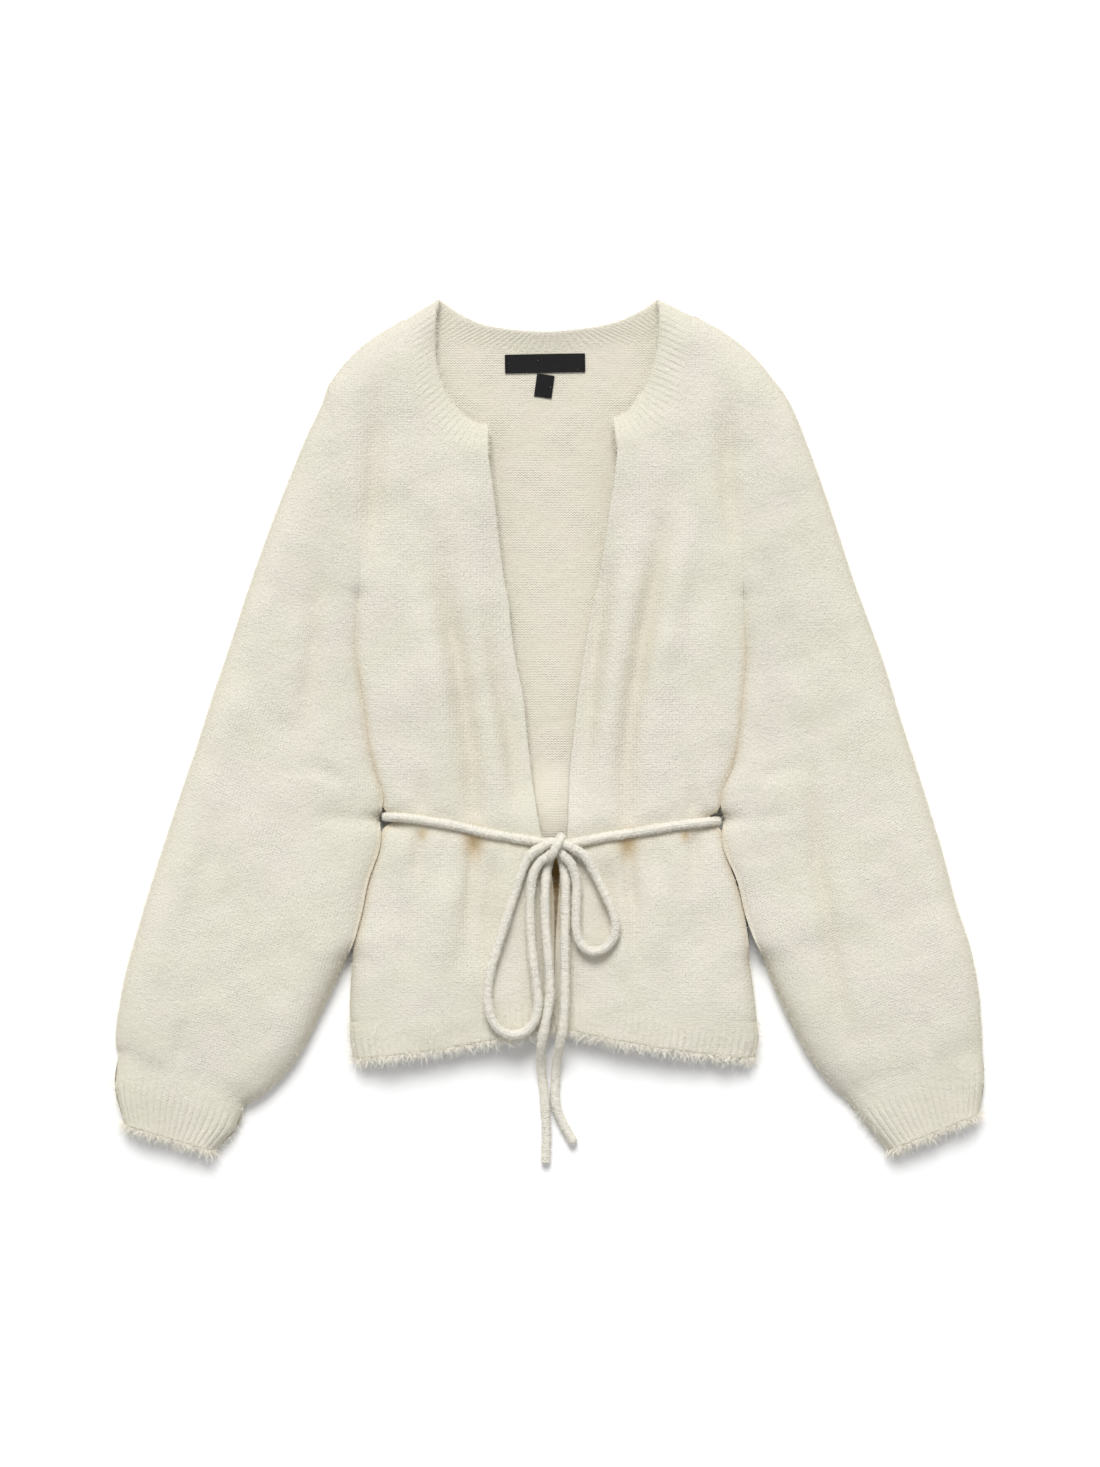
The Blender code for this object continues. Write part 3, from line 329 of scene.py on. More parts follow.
# Strands of the knot: radius, then the route
KNOT_STRANDS = (
    (3.5, ((-5.2, -90, 27.2), (-1, -87.6, 27.6), (5, -87, 27.8), (11, -88, 28),
           (16.4, -90.2, 28.4))),
    (3.4, ((-1.6, -97.9, 27.9), (0.4, -95.4, 26), (4.6, -93.6, 25.2), (8.6, -94.6, 26.2),
           (10.9, -97.3, 27.9))),
    (3.4, ((-4, -87.2, 20.2), (2, -86.8, 20), (9, -87.2, 20), (15, -88.2, 20.2))),
    (3.4, ((0.6, -97.5, 19.5), (2, -94, 20), (5, -92, 20.4), (7.4, -94, 20), (9, -97.9, 19.5))),
    (3.4, ((-0.4, -97.4, 21), (-0.2, -98.2, 26), (1.4, -96.4, 30.8), (4.2, -91.6, 32.2),
           (7.2, -86.6, 31.2), (8.8, -83.2, 26.4), (8.6, -83, 21))),
)

# Labels: centre x, y, width, height, thickness, turn in degrees
MAIN_LABEL = (-4, 297.3, 64, 14.6, 0.8, 1.0)
CARE_LABEL = (-4.6, 279.1, 13.8, 18, 0.5, -8.0)

# The photograph's frame: its height over the table, and the camera's own height, in metres
VIEW_HEIGHT = 1.1736
CAMERA_HEIGHT = 2.8
VIEW_PLANE = 0.015
SENSOR = 36.0


def catmull(rows, at):
    """Values of a table at many parameters, on a smooth curve through its rows."""
    table = np.array(rows, float)
    keys, values = table[:, 0], table[:, 1:]
    at = np.clip(np.asarray(at, float), keys[0], keys[-1])
    i = np.clip(np.searchsorted(keys, at, side="right") - 1, 0, len(keys) - 2)
    before, after = np.maximum(i - 1, 0), np.minimum(i + 2, len(keys) - 1)
    span = (keys[i + 1] - keys[i])[..., None]
    t = (at - keys[i])[..., None] / span
    slope_in = (values[i + 1] - values[before]) / (keys[i + 1] - keys[before])[..., None]
    slope_out = (values[after] - values[i]) / (keys[after] - keys[i])[..., None]
    here = 2 * t**3 - 3 * t**2 + 1
    return (here * values[i] + (t**3 - 2 * t**2 + t) * span * slope_in
            + (1 - here) * values[i + 1] + (t**3 - t**2) * span * slope_out)


def nearest(x, y, line):
    """Distances to a line of plan points, and the shares of its points where they are."""
    line = np.array(line, float)
    best, share = np.full(x.shape, 1e9), np.zeros(x.shape)
    for i in range(len(line) - 1):
        start, along = line[i, :2], line[i + 1, :2] - line[i, :2]
        length2 = max(along @ along, 1e-9)
        t = np.clip(((x - start[0]) * along[0] + (y - start[1]) * along[1]) / length2, 0, 1)
        distance = np.hypot(x - start[0] - t * along[0], y - start[1] - t * along[1])
        share = np.where(distance < best, (i + t) / (len(line) - 1), share)
        best = np.minimum(best, distance)
    return best, share


def near_line(x, y, line, reach):
    """1 on a line of plan points, which fades to 0 over a reach."""
    return np.exp(-((nearest(x, y, line)[0] / reach) ** 2))


def points_at(*layers):
    """A grid of points from their x, y and z, or of places from their x and y."""
    return np.stack(layers, axis=2)


def between(start, end, shares):
    """x and y at shares of the way from the start of each row to its end."""
    along = end - start
    return start[:, :1] + along[:, :1] * shares, start[:, 1:] + along[:, 1:] * shares


def ease(t):
    """0 to 1 with a soft start and a soft end."""
    t = np.clip(t, 0, 1)
    return t * t * (3 - 2 * t)


def tucked(y):
    """How far the body's side and the sleeve's inner edge lie against each other, by y."""
    waist = np.exp(-(((y - WAIST_Y) / WAIST_REACH) ** 2))
    return TUCK * ease((y - TUCK_LOW_Y) / TUCK_FADE) * (1 - waist)


def roll(distance):
    """Share of the full height at a distance from an edge that rolls down."""
    t = np.clip(distance / ROLL_WIDTH, 0, 1)
    return (1 - (1 - t) ** ROLL_POWER) ** (1 / ROLL_POWER)


def from_rolled_edge(width, step):
    """Distances from a rolled edge, closer together where the cloth turns down."""
    turns = np.linspace(0, math.pi / 2, 17)[:-1]
    near = ROLL_WIDTH * (1 - np.cos(turns) ** (2 / ROLL_POWER))
    near = near[:np.argmax(np.diff(near) > step) + 1]
    count = max(round((width - near[-1]) / step), 1)
    return np.concatenate([near, np.linspace(near[-1], width, count + 1)[1:]])


def sign(side):
    return -1 if side == "left" else 1


def side_x(side, y):
    return catmull(SIDE_EDGE, y)[..., 0 if side == "left" else 1]


def opening_x(side, y):
    return catmull(OPENING_EDGE, y)[..., 0 if side == "left" else 1]


def armhole_point(side, share, shift):
    """Plan points of the armhole seam, moved towards the sleeve by shift."""
    top_x, top_y, low_x, low_y = ARMHOLE[side]
    bow = ARMHOLE_BOW * np.sin(math.pi * share**1.5)
    x = top_x + (low_x - top_x) * share - sign(side) * bow + sign(side) * shift
    return x, top_y + (low_y - top_y) * share


def bowed(start, end, bow, shares):
    """Points of rows that run from start to end and bow to one side."""
    along = end - start
    length = np.hypot(along[:, 0], along[:, 1])[:, None]
    rise = bow[:, None] * 4 * shares * (1 - shares) / length
    turn = np.where(along[:, :1] > 0, 1.0, -1.0)
    x = start[:, :1] + along[:, :1] * shares - turn * along[:, 1:] * rise
    y = start[:, 1:] + along[:, 1:] * shares + turn * along[:, :1] * rise
    return x, y


def front_edges(side, side_y):
    """The side ends, opening ends and bows of rows of a front, by their y at the side."""
    _, top_y, _, low_y = ARMHOLE[side]
    share = np.clip((top_y - side_y) / (top_y - low_y), 0, 1)
    below = side_y < low_y
    arm_x, arm_y = armhole_point(side, share, -SEAM_HALF_GAP)
    start = np.stack([np.where(below, side_x(side, side_y), arm_x),
                      np.where(below, side_y, arm_y)], axis=1)
    opening_y = np.where(below, catmull(LOW_ROWS[side], side_y)[:, 0],
                         catmull(OPENING_ROWS, share)[:, 0])
    seam = catmull(NECKBAND[side], share)[:, 0:2]
    at_opening = np.stack([opening_x(side, opening_y), opening_y], axis=1)
    end = np.where((share <= NECK_CORNER)[:, None], seam, at_opening)
    bow = np.where(below, -HEM_BOW * ease((-150 - side_y) / 80),
                   catmull(SHOULDER_BOW, share)[:, 0])
    return start, end, bow


def shoulder_line(side, count):
    """Plan points of a front's top row, from the armhole to the neckband."""
    start, end, bow = front_edges(side, np.array([float(ARMHOLE[side][1])]))
    x, y = bowed(start, end, bow, np.linspace(0, 1, count)[None, :])
    return np.stack([x[0], y[0]], axis=1)


def sleeve_ends(side, step):
    """Outer and inner ends of a sleeve's rings, at fractional rows of its table."""
    return catmull([(i, *row) for i, row in enumerate(SLEEVE[side])], step)


def outer_line(side):
    """The outline from the neck over the shoulder and down the sleeve."""
    sleeve = sleeve_ends(side, np.linspace(0, len(SLEEVE[side]) - 1, 120))
    return np.concatenate([[NECKBAND[side][0][3:5]], shoulder_line(side, 20)[::-1],
                           sleeve[1:, 0:2], np.array(CUFF[side])[:, 0:2]])


def inner_line(side):
    """The inner edge of the sleeve and its cuff."""
    sleeve = sleeve_ends(side, np.linspace(0, len(SLEEVE[side]) - 1, 140))
    return np.concatenate([sleeve[:, 2:4], np.array(CUFF[side])[:, 2:4]])


def side_line(side):
    """The side edge of the body, hem to underarm."""
    y = np.linspace(SIDE_EDGE[0][0], SIDE_EDGE[-1][0], 160)
    return np.stack([side_x(side, y), y], axis=1)


SIDES = ("left", "right")
OUTER_LINE = {side: outer_line(side) for side in SIDES}
SIDE_LINE = {side: side_line(side) for side in SIDES}
INNER_LINE = {side: inner_line(side) for side in SIDES}
BELT_LINE = {"left": BELT_FRONT_LEFT[4:], "right": BELT_FRONT_RIGHT[4:]}

# Low waves of cloth that was laid by hand: 30 of them, 26 to 100 mm long
WAVES = np.random.default_rng(11).uniform(size=(30, 3))
WAVES = WAVES * (74, 2 * math.pi, 2 * math.pi) + (26, 0, 0)


def waves(x, y):
    """Uneven height of cloth that was laid by hand, about half a millimetre."""
    total = np.zeros(x.shape)
    for length, heading, start in WAVES:
        across = x * math.cos(heading) + y * math.sin(heading)
        total += np.cos(2 * math.pi * across / length + start) * length / 60
    return 0.13 * total


def folds(x, y, table):
    """Depth of a table's folds at plan points."""
    total = np.zeros(x.shape)
    for depth, half_width, line in table.values():
        distance, share = nearest(x, y, line)
        ends = ease(share / 0.35) * ease((1 - share) / 0.45)
        total += depth * ends * np.exp(-((distance / half_width) ** 2))
    return total


def unevenness(x, y):
    """All folds, creases and waves of the upper cloth, as a depth."""
    return folds(x, y, FOLDS) + folds(x, y, CREASES) - waves(x, y)


def over_belt(x, y, reach):
    """Height of a round ridge over the belt under the back, which ends at a reach."""
    distance, _ = nearest(np.clip(x, *BELT_BACK_SPAN), y, BELT_BACK)
    beyond = np.minimum(distance / reach, 1)
    return BELT_RIDGE * (0.5 + 0.5 * np.cos(math.pi * beyond))


def belt_ridge(x, y):
    """Height of the back panel's underside, which passes over the belt."""
    return over_belt(x, y, BELT_RIDGE_REACH)


def back_top(x, y):
    """Height of the back panel's upper face, which swells gently over the belt."""
    inside = (ease((side_x("right", y) - x) / BELT_SWELL_EDGE)
              * ease((x - side_x("left", y)) / BELT_SWELL_EDGE))
    return np.maximum(belt_ridge(x, y), over_belt(x, y, BELT_SWELL_REACH) * inside) + WALL


def body_height(side, x, y):
    """Height of a front's upper face."""
    rise = catmull(BODY_RISE, y)[..., 0]
    dip = near_line(x, y, BELT_LINE[side], BELT_DIP)
    from_side = nearest(x, y, SIDE_LINE[side])[0] + tucked(y)
    away = roll(nearest(x, y, OUTER_LINE[side])[0]) * roll(from_side)
    rise = rise - unevenness(x, y) * (1 - dip)
    rise = rise + (WAIST_RISE - rise) * dip
    low = belt_ridge(x, y) + EDGE_HEIGHT
    return low + (rise - low) * away


def sleeve_height(side, share, x, y):
    """Height of a sleeve's upper face, the front's own height at the armhole."""
    rise = catmull(SLEEVE_RISE, share)[..., 0]
    rise = rise + (catmull(BODY_RISE, y)[..., 0] - rise) * (1 - ease(share / 0.2))
    from_inner = nearest(x, y, INNER_LINE[side])[0] + tucked(y)
    away = roll(nearest(x, y, OUTER_LINE[side])[0]) * roll(from_inner)
    return EDGE_HEIGHT + (rise - unevenness(x, y) - EDGE_HEIGHT) * away


def hollows(x, y):
    """Painted warm shade where the cloth lies in a hollow, beside the belt, at the sides and under
    the knot, from 0 to 1.
    """
    painted_amount = FOLD_SHADE * np.clip(folds(x, y, FOLDS) / 6, 0, 1)
    for side in SIDES:
        painted_amount = painted_amount + BELT_SHADE * near_line(x, y + 5, BELT_LINE[side], 5)
        painted_amount = painted_amount + (SIDE_SHADE * near_line(x, y, SIDE_LINE[side], 3.5)
                       * ease((y + 200) / 30) * ease((130 - y) / 90))
    for middle_x, middle_y, reach in PINCH_SHADE_SPOTS:
        across, up = (x - middle_x) / reach, (y - middle_y) / (1.5 * reach)
        painted_amount = painted_amount + PINCH_SHADE * np.exp(-(across**2) - up**2)
    return np.clip(painted_amount + KNOT_SHADE * under_knot(x, y), 0, 1)


def under_knot(x, y):
    """The gap between the fronts' edges under the knot, where warm shade is painted on the cloth."""
    return np.exp(-(((x - 4.5) / 8) ** 2)) * ease((-84 - y) / 16) * ease((y + 205) / 90)


def srgb(code):
    """A colour from its sRGB hex code, as the linear values that a shader takes."""
    parts = [int(code[i:i + 2], 16) / 255 for i in (0, 2, 4)]
    return [c / 12.92 if c <= 0.04045 else ((c + 0.055) / 1.055) ** 2.4 for c in parts] + [1.0]


def add(tree, kind, inputs=None, **settings):
    """One node with its settings, and each of its inputs set to a value or linked to a socket."""
    made = tree.nodes.new(kind)
    for name, value in settings.items():
        setattr(made, name, value)
    for name, value in (inputs or {}).items():
        if isinstance(value, bpy.types.NodeSocket):
            tree.links.new(value, made.inputs[name])
        else:
            made.inputs[name].default_value = value
    return made


def new_material(name):
    made = bpy.data.materials.new(name)
    made.use_nodes = True
    made.node_tree.nodes.clear()
    return made, made.node_tree


def maths(tree, operation, *values):
    """One step of arithmetic on numbers and sockets."""
    return add(tree, "ShaderNodeMath", dict(enumerate(values)), operation=operation).outputs[0]


def ranged(tree, value, start, end, low, high):
    """A value that runs from start to end, moved to run from low to high."""
    return add(tree, "ShaderNodeMapRange", {"Value": value, "From Min": start, "From Max": end,
                                            "To Min": low, "To Max": high}).outputs[0]


def blend(tree, share, one, other):
    """A colour between two colours."""
    return add(tree, "ShaderNodeMix", {0: share, 6: one, 7: other}, data_type="RGBA").outputs[2]


def noise(tree, place, scale, detail=2.0, **more):
    """Soft noise, as a number from 0 to 1. more has other inputs of the node."""
    return add(tree, "ShaderNodeTexNoise", {"Vector": place, "Scale": scale, "Detail": detail,
                                            **more}).outputs[0]


def relief_on(tree, strength, distance, height, **over):
    """A normal with relief, over the one that is given as Normal, if any."""
    return add(tree, "ShaderNodeBump", {"Strength": strength, "Distance": distance,
                                        "Height": height, **over}).outputs[0]


def body_place(tree):
    """Places on the piece itself, in metres."""
    return add(tree, "ShaderNodeTexCoord").outputs["Object"]


def surface(tree, inputs):
    """The shader of a material, linked to its output."""
    shader = add(tree, "ShaderNodeBsdfPrincipled", inputs)
    add(tree, "ShaderNodeOutputMaterial", {"Surface": shader.outputs[0]})


def stitches(tree, face):
    """Relief of knitted stitches, from 0 to 1, from the knit UV map, which is in millimetres.

    The right side of the cloth shows columns of V shapes, and the wrong side rows of bumps.
    """
    uv = add(tree, "ShaderNodeUVMap", uv_map="knit")
    place = add(tree, "ShaderNodeSeparateXYZ", {0: uv.outputs["UV"]})
    column = maths(tree, "DIVIDE", place.outputs["X"], WALE)
    row = maths(tree, "DIVIDE", place.outputs["Y"], COURSE)
    if face == "wrong":
        bend = maths(tree, "COSINE", maths(tree, "MULTIPLY", column, 2 * math.pi))
        slant = maths(tree, "MULTIPLY_ADD", bend, 0.22, row)
    else:
        centred = maths(tree, "SUBTRACT", maths(tree, "FRACT", column), 0.5)
        aside = maths(tree, "ABSOLUTE", centred)
        slant = maths(tree, "MULTIPLY_ADD", aside, 1.0, row)
    wave = maths(tree, "COSINE", maths(tree, "MULTIPLY", slant, 2 * math.pi))
    yarn = maths(tree, "MULTIPLY_ADD", wave, 0.25, 0.75)
    if face == "wrong":
        return yarn
    # Grooves between the columns
    steep = maths(tree, "POWER", maths(tree, "MULTIPLY", aside, 2.0), 3.0)
    groove = maths(tree, "MULTIPLY_ADD", steep, -0.7, 1.0)
    return maths(tree, "MULTIPLY", yarn, groove)


def brushed_wool(name, face, shown, nap, tones, turning=0.35):
    """Brushed wool-blend knit: a matt cream cloth whose soft nap half hides its stitches.

    shown is how clear the stitches are, nap how rough the brushed surface is, and tones the
    sRGB colours of the lit cloth, which wander a little between two creams, of the warm shade
    painted in its hollows and of the shade painted between stitches and tufts. turning is how
    far that painted shade comes in where the cloth turns away from the eye.
    """
    made, tree = new_material(name)
    lit, warm, shade = tones
    body = body_place(tree)
    # Patches 20 to 40 mm wide, where the nap lies flatter and the stitches show more
    clear = ranged(tree, noise(tree, body, 34.0), 0.38, 0.66, 0.25, 1.0)
    seen = maths(tree, "MULTIPLY", stitches(tree, face), clear)
    # Tufts of nap about 2 mm wide, with finer hair between them
    tufts = noise(tree, body, 520.0, 4.0, Roughness=0.65, Distortion=0.8)
    normal = relief_on(tree, shown, 0.9 * MM, seen)
    normal = relief_on(tree, nap, 1.1 * MM, tufts, Normal=normal)
    normal = relief_on(tree, 0.2, 2.5 * MM, noise(tree, body, 120.0, 3.0), Normal=normal)
    wander = ranged(tree, noise(tree, body, 19.0, 3.0), 0.4, 0.6, 0.0, 1.0)
    colour = blend(tree, wander, srgb(lit[0]), srgb(lit[1]))
    # Painted warm shade in the cloth's hollows, from the mesh's attribute
    painted_warm_shade = add(tree, "ShaderNodeAttribute", attribute_name="painted_warm_shade")
    colour = blend(tree, painted_warm_shade.outputs["Fac"], colour, srgb(warm))
    facing_away = add(tree, "ShaderNodeLayerWeight", {"Blend": 0.5}).outputs["Facing"]
    # Painted shade between the stitches, between the tufts, and where the cloth turns from the eye
    for value, start, end, low, high in (
            (seen, 0.05, 0.55, 0.3 * shown, 0.0), (tufts, 0.3, 0.7, 0.2, 0.0),
            (facing_away, 0.03, 0.5, 0.0, turning)):
        dark = ranged(tree, value, start, end, low, high)
        colour = blend(tree, dark, colour, srgb(shade))
    surface(tree, {"Base Color": colour, "Roughness": 0.95, "Specular IOR Level": 0.15,
                   "Sheen Weight": 0.25, "Sheen Roughness": 0.5, "Sheen Tint": srgb("FFF8E8"),
                   "Normal": normal})
    return made


def woven_satin(name, ink):
    """Black woven label tape: fine satin ribs across it give a low silky gloss."""
    made, tree = new_material(name)
    body = body_place(tree)
    # Weft ribs every 0.8 mm, twice as coarse as on real tape so that they show
    weft = add(tree, "ShaderNodeTexWave", {"Vector": body, "Scale": 1 / (0.8 * MM) / 3.2,
                                           "Distortion": 0.4, "Detail": 1.0},
               bands_direction="Y")
    surface(tree, {"Base Color": blend(tree, noise(tree, body, 420.0), srgb(ink), srgb("141417")),
                   "Roughness": 0.6, "Specular IOR Level": 0.2,
                   "Normal": relief_on(tree, 0.5, 0.15 * MM, weft.outputs[0])})
    return made


def plain_matt(name, code, roughness):
    """One matt colour, for thread and for the table."""
    made, tree = new_material(name)
    surface(tree, {"Base Color": srgb(code), "Roughness": roughness, "Specular IOR Level": 0.1})
    return made


def combed_fibre(name):
    """Loose wool fibre: fine pale hair."""
    made, tree = new_material(name)
    tone = noise(tree, body_place(tree), 60.0)
    surface(tree, {"Base Color": blend(tree, tone, srgb("F8F4E8"), srgb("EEE9DA")),
                   "Roughness": 0.8, "Specular IOR Level": 0.2, "Sheen Weight": 0.2})
    return made


# The same cream yarn, as stockinette, its inside, ribs and the cord, which is knitted tighter
# Each set of tones: the lit creams, the painted warm shade of hollows, and the painted shade between
# stitches and tufts and where the cloth turns away
KNIT = brushed_wool("brushed_wool_stockinette", "right", 0.45, 1.0,
                    (("E7E4D5", "EAE5D9"), "CCB080", "C9C1AA"))
PURL = brushed_wool("brushed_wool_inside", "wrong", 0.75, 0.6,
                    (("E7E4D5", "EAE5D9"), "B48C48", "C9C1AA"))
RIB = brushed_wool("brushed_wool_rib", "right", 0.4, 0.9,
                   (("E4E1D1", "E7E2D5"), "C8A86C", "C9C1AA"))
# The cord's creams are paler than the cloth's: painted light that makes up for the shade its fibres
# and relief put on it
CORD_KNIT = brushed_wool("knitted_wool_cord", "right", 0.8, 1.1,
                         (("F0EDE2", "F1EDE2"), "CDB58A", "DAD2BE"), 0.0)
# Bare black labels, their sewing thread, and the loose fibres of the same yarn
LABEL_TAPE = woven_satin("black_woven_label_tape", "08080A")
STITCH_THREAD = plain_matt("black_sewing_thread", "1B1B1E", 0.6)
FIBRE = combed_fibre("combed_wool_fibre")


SHARP_ANGLE = math.radians(48)


def piece(name, points, faces, uvs, finishes, finish_of_face, attributes):
    """One object from points in millimetres, with its knit UV map and its attributes."""
    places = (np.asarray(points, float) - (0, ORIGIN_Y, 0)) * MM
    mesh = bpy.data.meshes.new(name)
    mesh.from_pydata(places.tolist(), [], faces)
    layer = mesh.uv_layers.new(name="knit")
    layer.data.foreach_set("uv", np.asarray(uvs, np.float32).ravel())
    for finish in finishes:
        mesh.materials.append(finish)
    mesh.polygons.foreach_set("material_index", np.asarray(finish_of_face, np.int32))
    for key, values in attributes.items():
        made = mesh.attributes.new(key, "FLOAT", "POINT")
        made.data.foreach_set("value", np.asarray(values, np.float32))
    mesh.shade_smooth()
    mesh.set_sharp_from_angle(angle=SHARP_ANGLE)
    mesh.update()
    made = bpy.data.objects.new(name, mesh)
    bpy.context.scene.collection.objects.link(made)
    return made


def volume_of(points, quads):
    """Signed volume that closed quads hold."""
    a, b, c, d = (points[quads[:, k]] for k in range(4))
    return (np.einsum("ij,ij->", a, np.cross(b, c)) + np.einsum("ij,ij->", a, np.cross(c, d))) / 6


def corners_of(cells):
    """The four corners of each cell of a grid, one after another round the cell."""
    around = (cells[:-1, :-1], cells[:-1, 1:], cells[1:, 1:], cells[1:, :-1])
    return np.stack(around, axis=2).reshape(-1, 4, *cells.shape[2:])


# A rim's turns from the outer to the inner face, and its places on the knit
RIM_TURNS = (0.25, 0.5, 0.75)
RIM_UV_STEP = 1.3

# How far rims stand out: sewn ones up to FREE_RIM, and free ones by more
FREE_RIM = 1.15
SEWN_RIM = 1.0
OPENING_RIM = 1.2
RIB_RIM = 1.3
SHOULDER_RIM = 0.3
BACK_RIM = 0.4
HIDDEN_RIM = 0.2
LABEL_RIM = 0.25

# How high ribs stand, as a share of RIB_DEPTH's own relief
HEM_RELIEF = 0.85
NECKBAND_RELIEF = 0.55
BACK_NECKBAND_RELIEF = 0.4
CUFF_RELIEF = 0.42


def shell(name, over, under, uv, finishes, painted_warm_shade, halo, bulge, ring=False):
    """One closed shell between two grids of points, with rims.

    over and under are (rows, columns, 3), and uv is (rows, columns, 2), with one more column
    on a ring. finishes are the materials of the outer and inner faces. bulge gives how far the
    rims stand out at row 0, at the last row, at column 0 and at the last column.
    """
    rows, columns = over.shape[:2]
    index = np.arange(rows * columns).reshape(rows, columns)
    points = [over.reshape(-1, 3), under.reshape(-1, 3)]
    painted_warm_shades = [painted_warm_shade.ravel(), np.zeros(rows * columns)]
    halos = [halo.ravel(), np.zeros(rows * columns)]
    total = 2 * rows * columns
    outer, inner = index, index + rows * columns
    if ring:
        outer = np.concatenate([outer, outer[:, :1]], axis=1)
        inner = np.concatenate([inner, inner[:, :1]], axis=1)
        walks = [[(0, j) for j in range(columns)][::-1], [(rows - 1, j) for j in range(columns)]]
    else:
        walk = [(0, j) for j in range(columns - 1, -1, -1)]
        walk += [(i, 0) for i in range(1, rows)]
        walk += [(rows - 1, j) for j in range(1, columns)]
        walk += [(i, columns - 1) for i in range(rows - 2, 0, -1)]
        walks = [walk]
    grids = [(outer, uv, 0), (inner[:, ::-1], uv[:, ::-1], 1)]
    for walk in walks:
        i, j = np.array(walk).T
        away = np.zeros((len(walk), 3))
        reach = np.zeros(len(walk))
        count = np.zeros(len(walk))
        borders = [(i == 0, 1, 0, 0), (i == rows - 1, -1, 0, 1)]
        if not ring:
            borders += [(j == 0, 0, 1, 2), (j == columns - 1, 0, -1, 3)]
        for border, step_i, step_j, key in borders:
            at_i, at_j = i[border], j[border]
            step = over[at_i, at_j] - over[at_i + step_i, at_j + step_j]
            away[border] += step / np.linalg.norm(step, axis=1)[:, None]
            out_here = np.broadcast_to(np.asarray(bulge[key], float),
                                       (columns if step_i else rows,))
            reach[border] += out_here[at_j if step_i else at_i]
            count[border] += 1
        away /= np.maximum(np.linalg.norm(away, axis=1), 1e-9)[:, None]
        reach /= count
        from_over, from_under = over[i, j], under[i, j]
        # A free edge is round, and a sewn one is square and meets its neighbour
        free = reach > FREE_RIM
        ids = [index[i, j]]
        for turn in RIM_TURNS:
            angle = math.pi * turn
            stand_out = np.where(free, math.sin(angle), 1.0)
            down = np.where(free, (1 - math.cos(angle)) / 2, 2 * turn - 0.5)[:, None]
            points.append(from_over * (1 - down) + from_under * down
                          + away * (reach * stand_out)[:, None])
            painted_warm_shades.append(painted_warm_shade[i, j])
            halos.append(np.where(free, RIB_EDGE_HALO if "rib_" in name else 1.0, 0.0))
            ids.append(np.arange(total, total + len(walk)))
            total += len(walk)
        ids.append(index[i, j] + rows * columns)
        ids = np.array(ids)
        ids = np.concatenate([ids, ids[:, :1]], axis=1)
        if ring:
            edge_uv = uv[i[0], :][::-1] if i[0] == 0 else uv[i[0], :]
        else:
            edge_uv = np.concatenate([uv[i, j], uv[i[:1], j[:1]]])
        rim_uv = np.stack([edge_uv + (0, RIM_UV_STEP * k) for k in range(len(RIM_TURNS) + 2)])
        grids.append((ids, rim_uv, 0))
    points = np.concatenate(points)
    faces = np.concatenate([corners_of(ids) for ids, _, _ in grids])
    corner_uvs = np.concatenate([corners_of(places) for _, places, _ in grids])
    finish_of_face = [np.full((ids.shape[0] - 1) * (ids.shape[1] - 1), finish)
                      for ids, _, finish in grids]
    if volume_of(points, faces) < 0:
        faces, corner_uvs = faces[:, ::-1], corner_uvs[:, ::-1]
    return piece(name, points, faces.tolist(), corner_uvs.reshape(-1, 2), finishes,
                 np.concatenate(finish_of_face),
                 {"painted_warm_shade": np.concatenate(painted_warm_shades), "halo": np.concatenate(halos)})


def facing(grid):
    """Unit normals of a grid of points, on the side that looks up."""
    normal = np.cross(np.gradient(grid, axis=1), np.gradient(grid, axis=0))
    normal /= np.maximum(np.linalg.norm(normal, axis=2), 1e-9)[..., None]
    if normal[grid.shape[0] // 2, grid.shape[1] // 2, 2] < 0:
        normal = -normal
    return normal


def rib_relief(place):
    """Relief of a rib: broad rounded crests at whole numbers, narrow grooves between them."""
    return RIB_DEPTH * (np.abs(np.cos(math.pi * place)) ** 0.6 - 0.6)


def stray(normal):
    """How thick the fibres stand, least on cloth that faces straight up."""
    return np.clip(0.035 + 1.1 * (1 - np.abs(normal[..., 2])) ** 1.6, 0, 1)


def cloth_panel(name, base, uv, finishes, bulge, sewn=None, relief=None):
    """A front, a hem or a neckband: a wall under its base grid, with its relief over it."""
    normal = facing(base)
    depth = np.zeros(base.shape[:2]) if relief is None else relief
    over = base + normal * depth[..., None]
    straight = np.zeros_like(normal)
    straight[..., 2] = 1 / np.maximum(normal[..., 2], 0.5)
    down = normal if sewn is None else np.where(sewn[..., None], straight, normal)
    under = base - down * WALL
    floor = back_top(under[..., 0], under[..., 1]) + LAYER_GAP
    under[..., 2] = np.maximum(under[..., 2], floor)
    over[..., 2] = np.maximum(over[..., 2], under[..., 2] + np.where(over[..., 2] > 5, WALL, 0.3))
    # Painted warm shade in the cloth's hollows
    painted_warm_shade = hollows(base[..., 0], base[..., 1])
    halo = stray(normal) * (HEM_HALO if "rib_hem" in name else 1.0)
    return shell(name, over, under, uv, finishes, painted_warm_shade, halo, bulge)


def front_heights(side, x, y, from_opening):
    """Upper face of a front, which droops towards the opening, except near the belt."""
    droop = OPENING_DROOP * np.exp(-((from_opening / OPENING_DROOP_REACH) ** 2))
    free = 1 - near_line(x, y, BELT_LINE[side], OPENING_DROOP_BELT)
    droop = droop * free * ease((OPENING_DROOP_TOP_Y - y) / OPENING_DROOP_FADE)
    return body_height(side, x, y) - droop


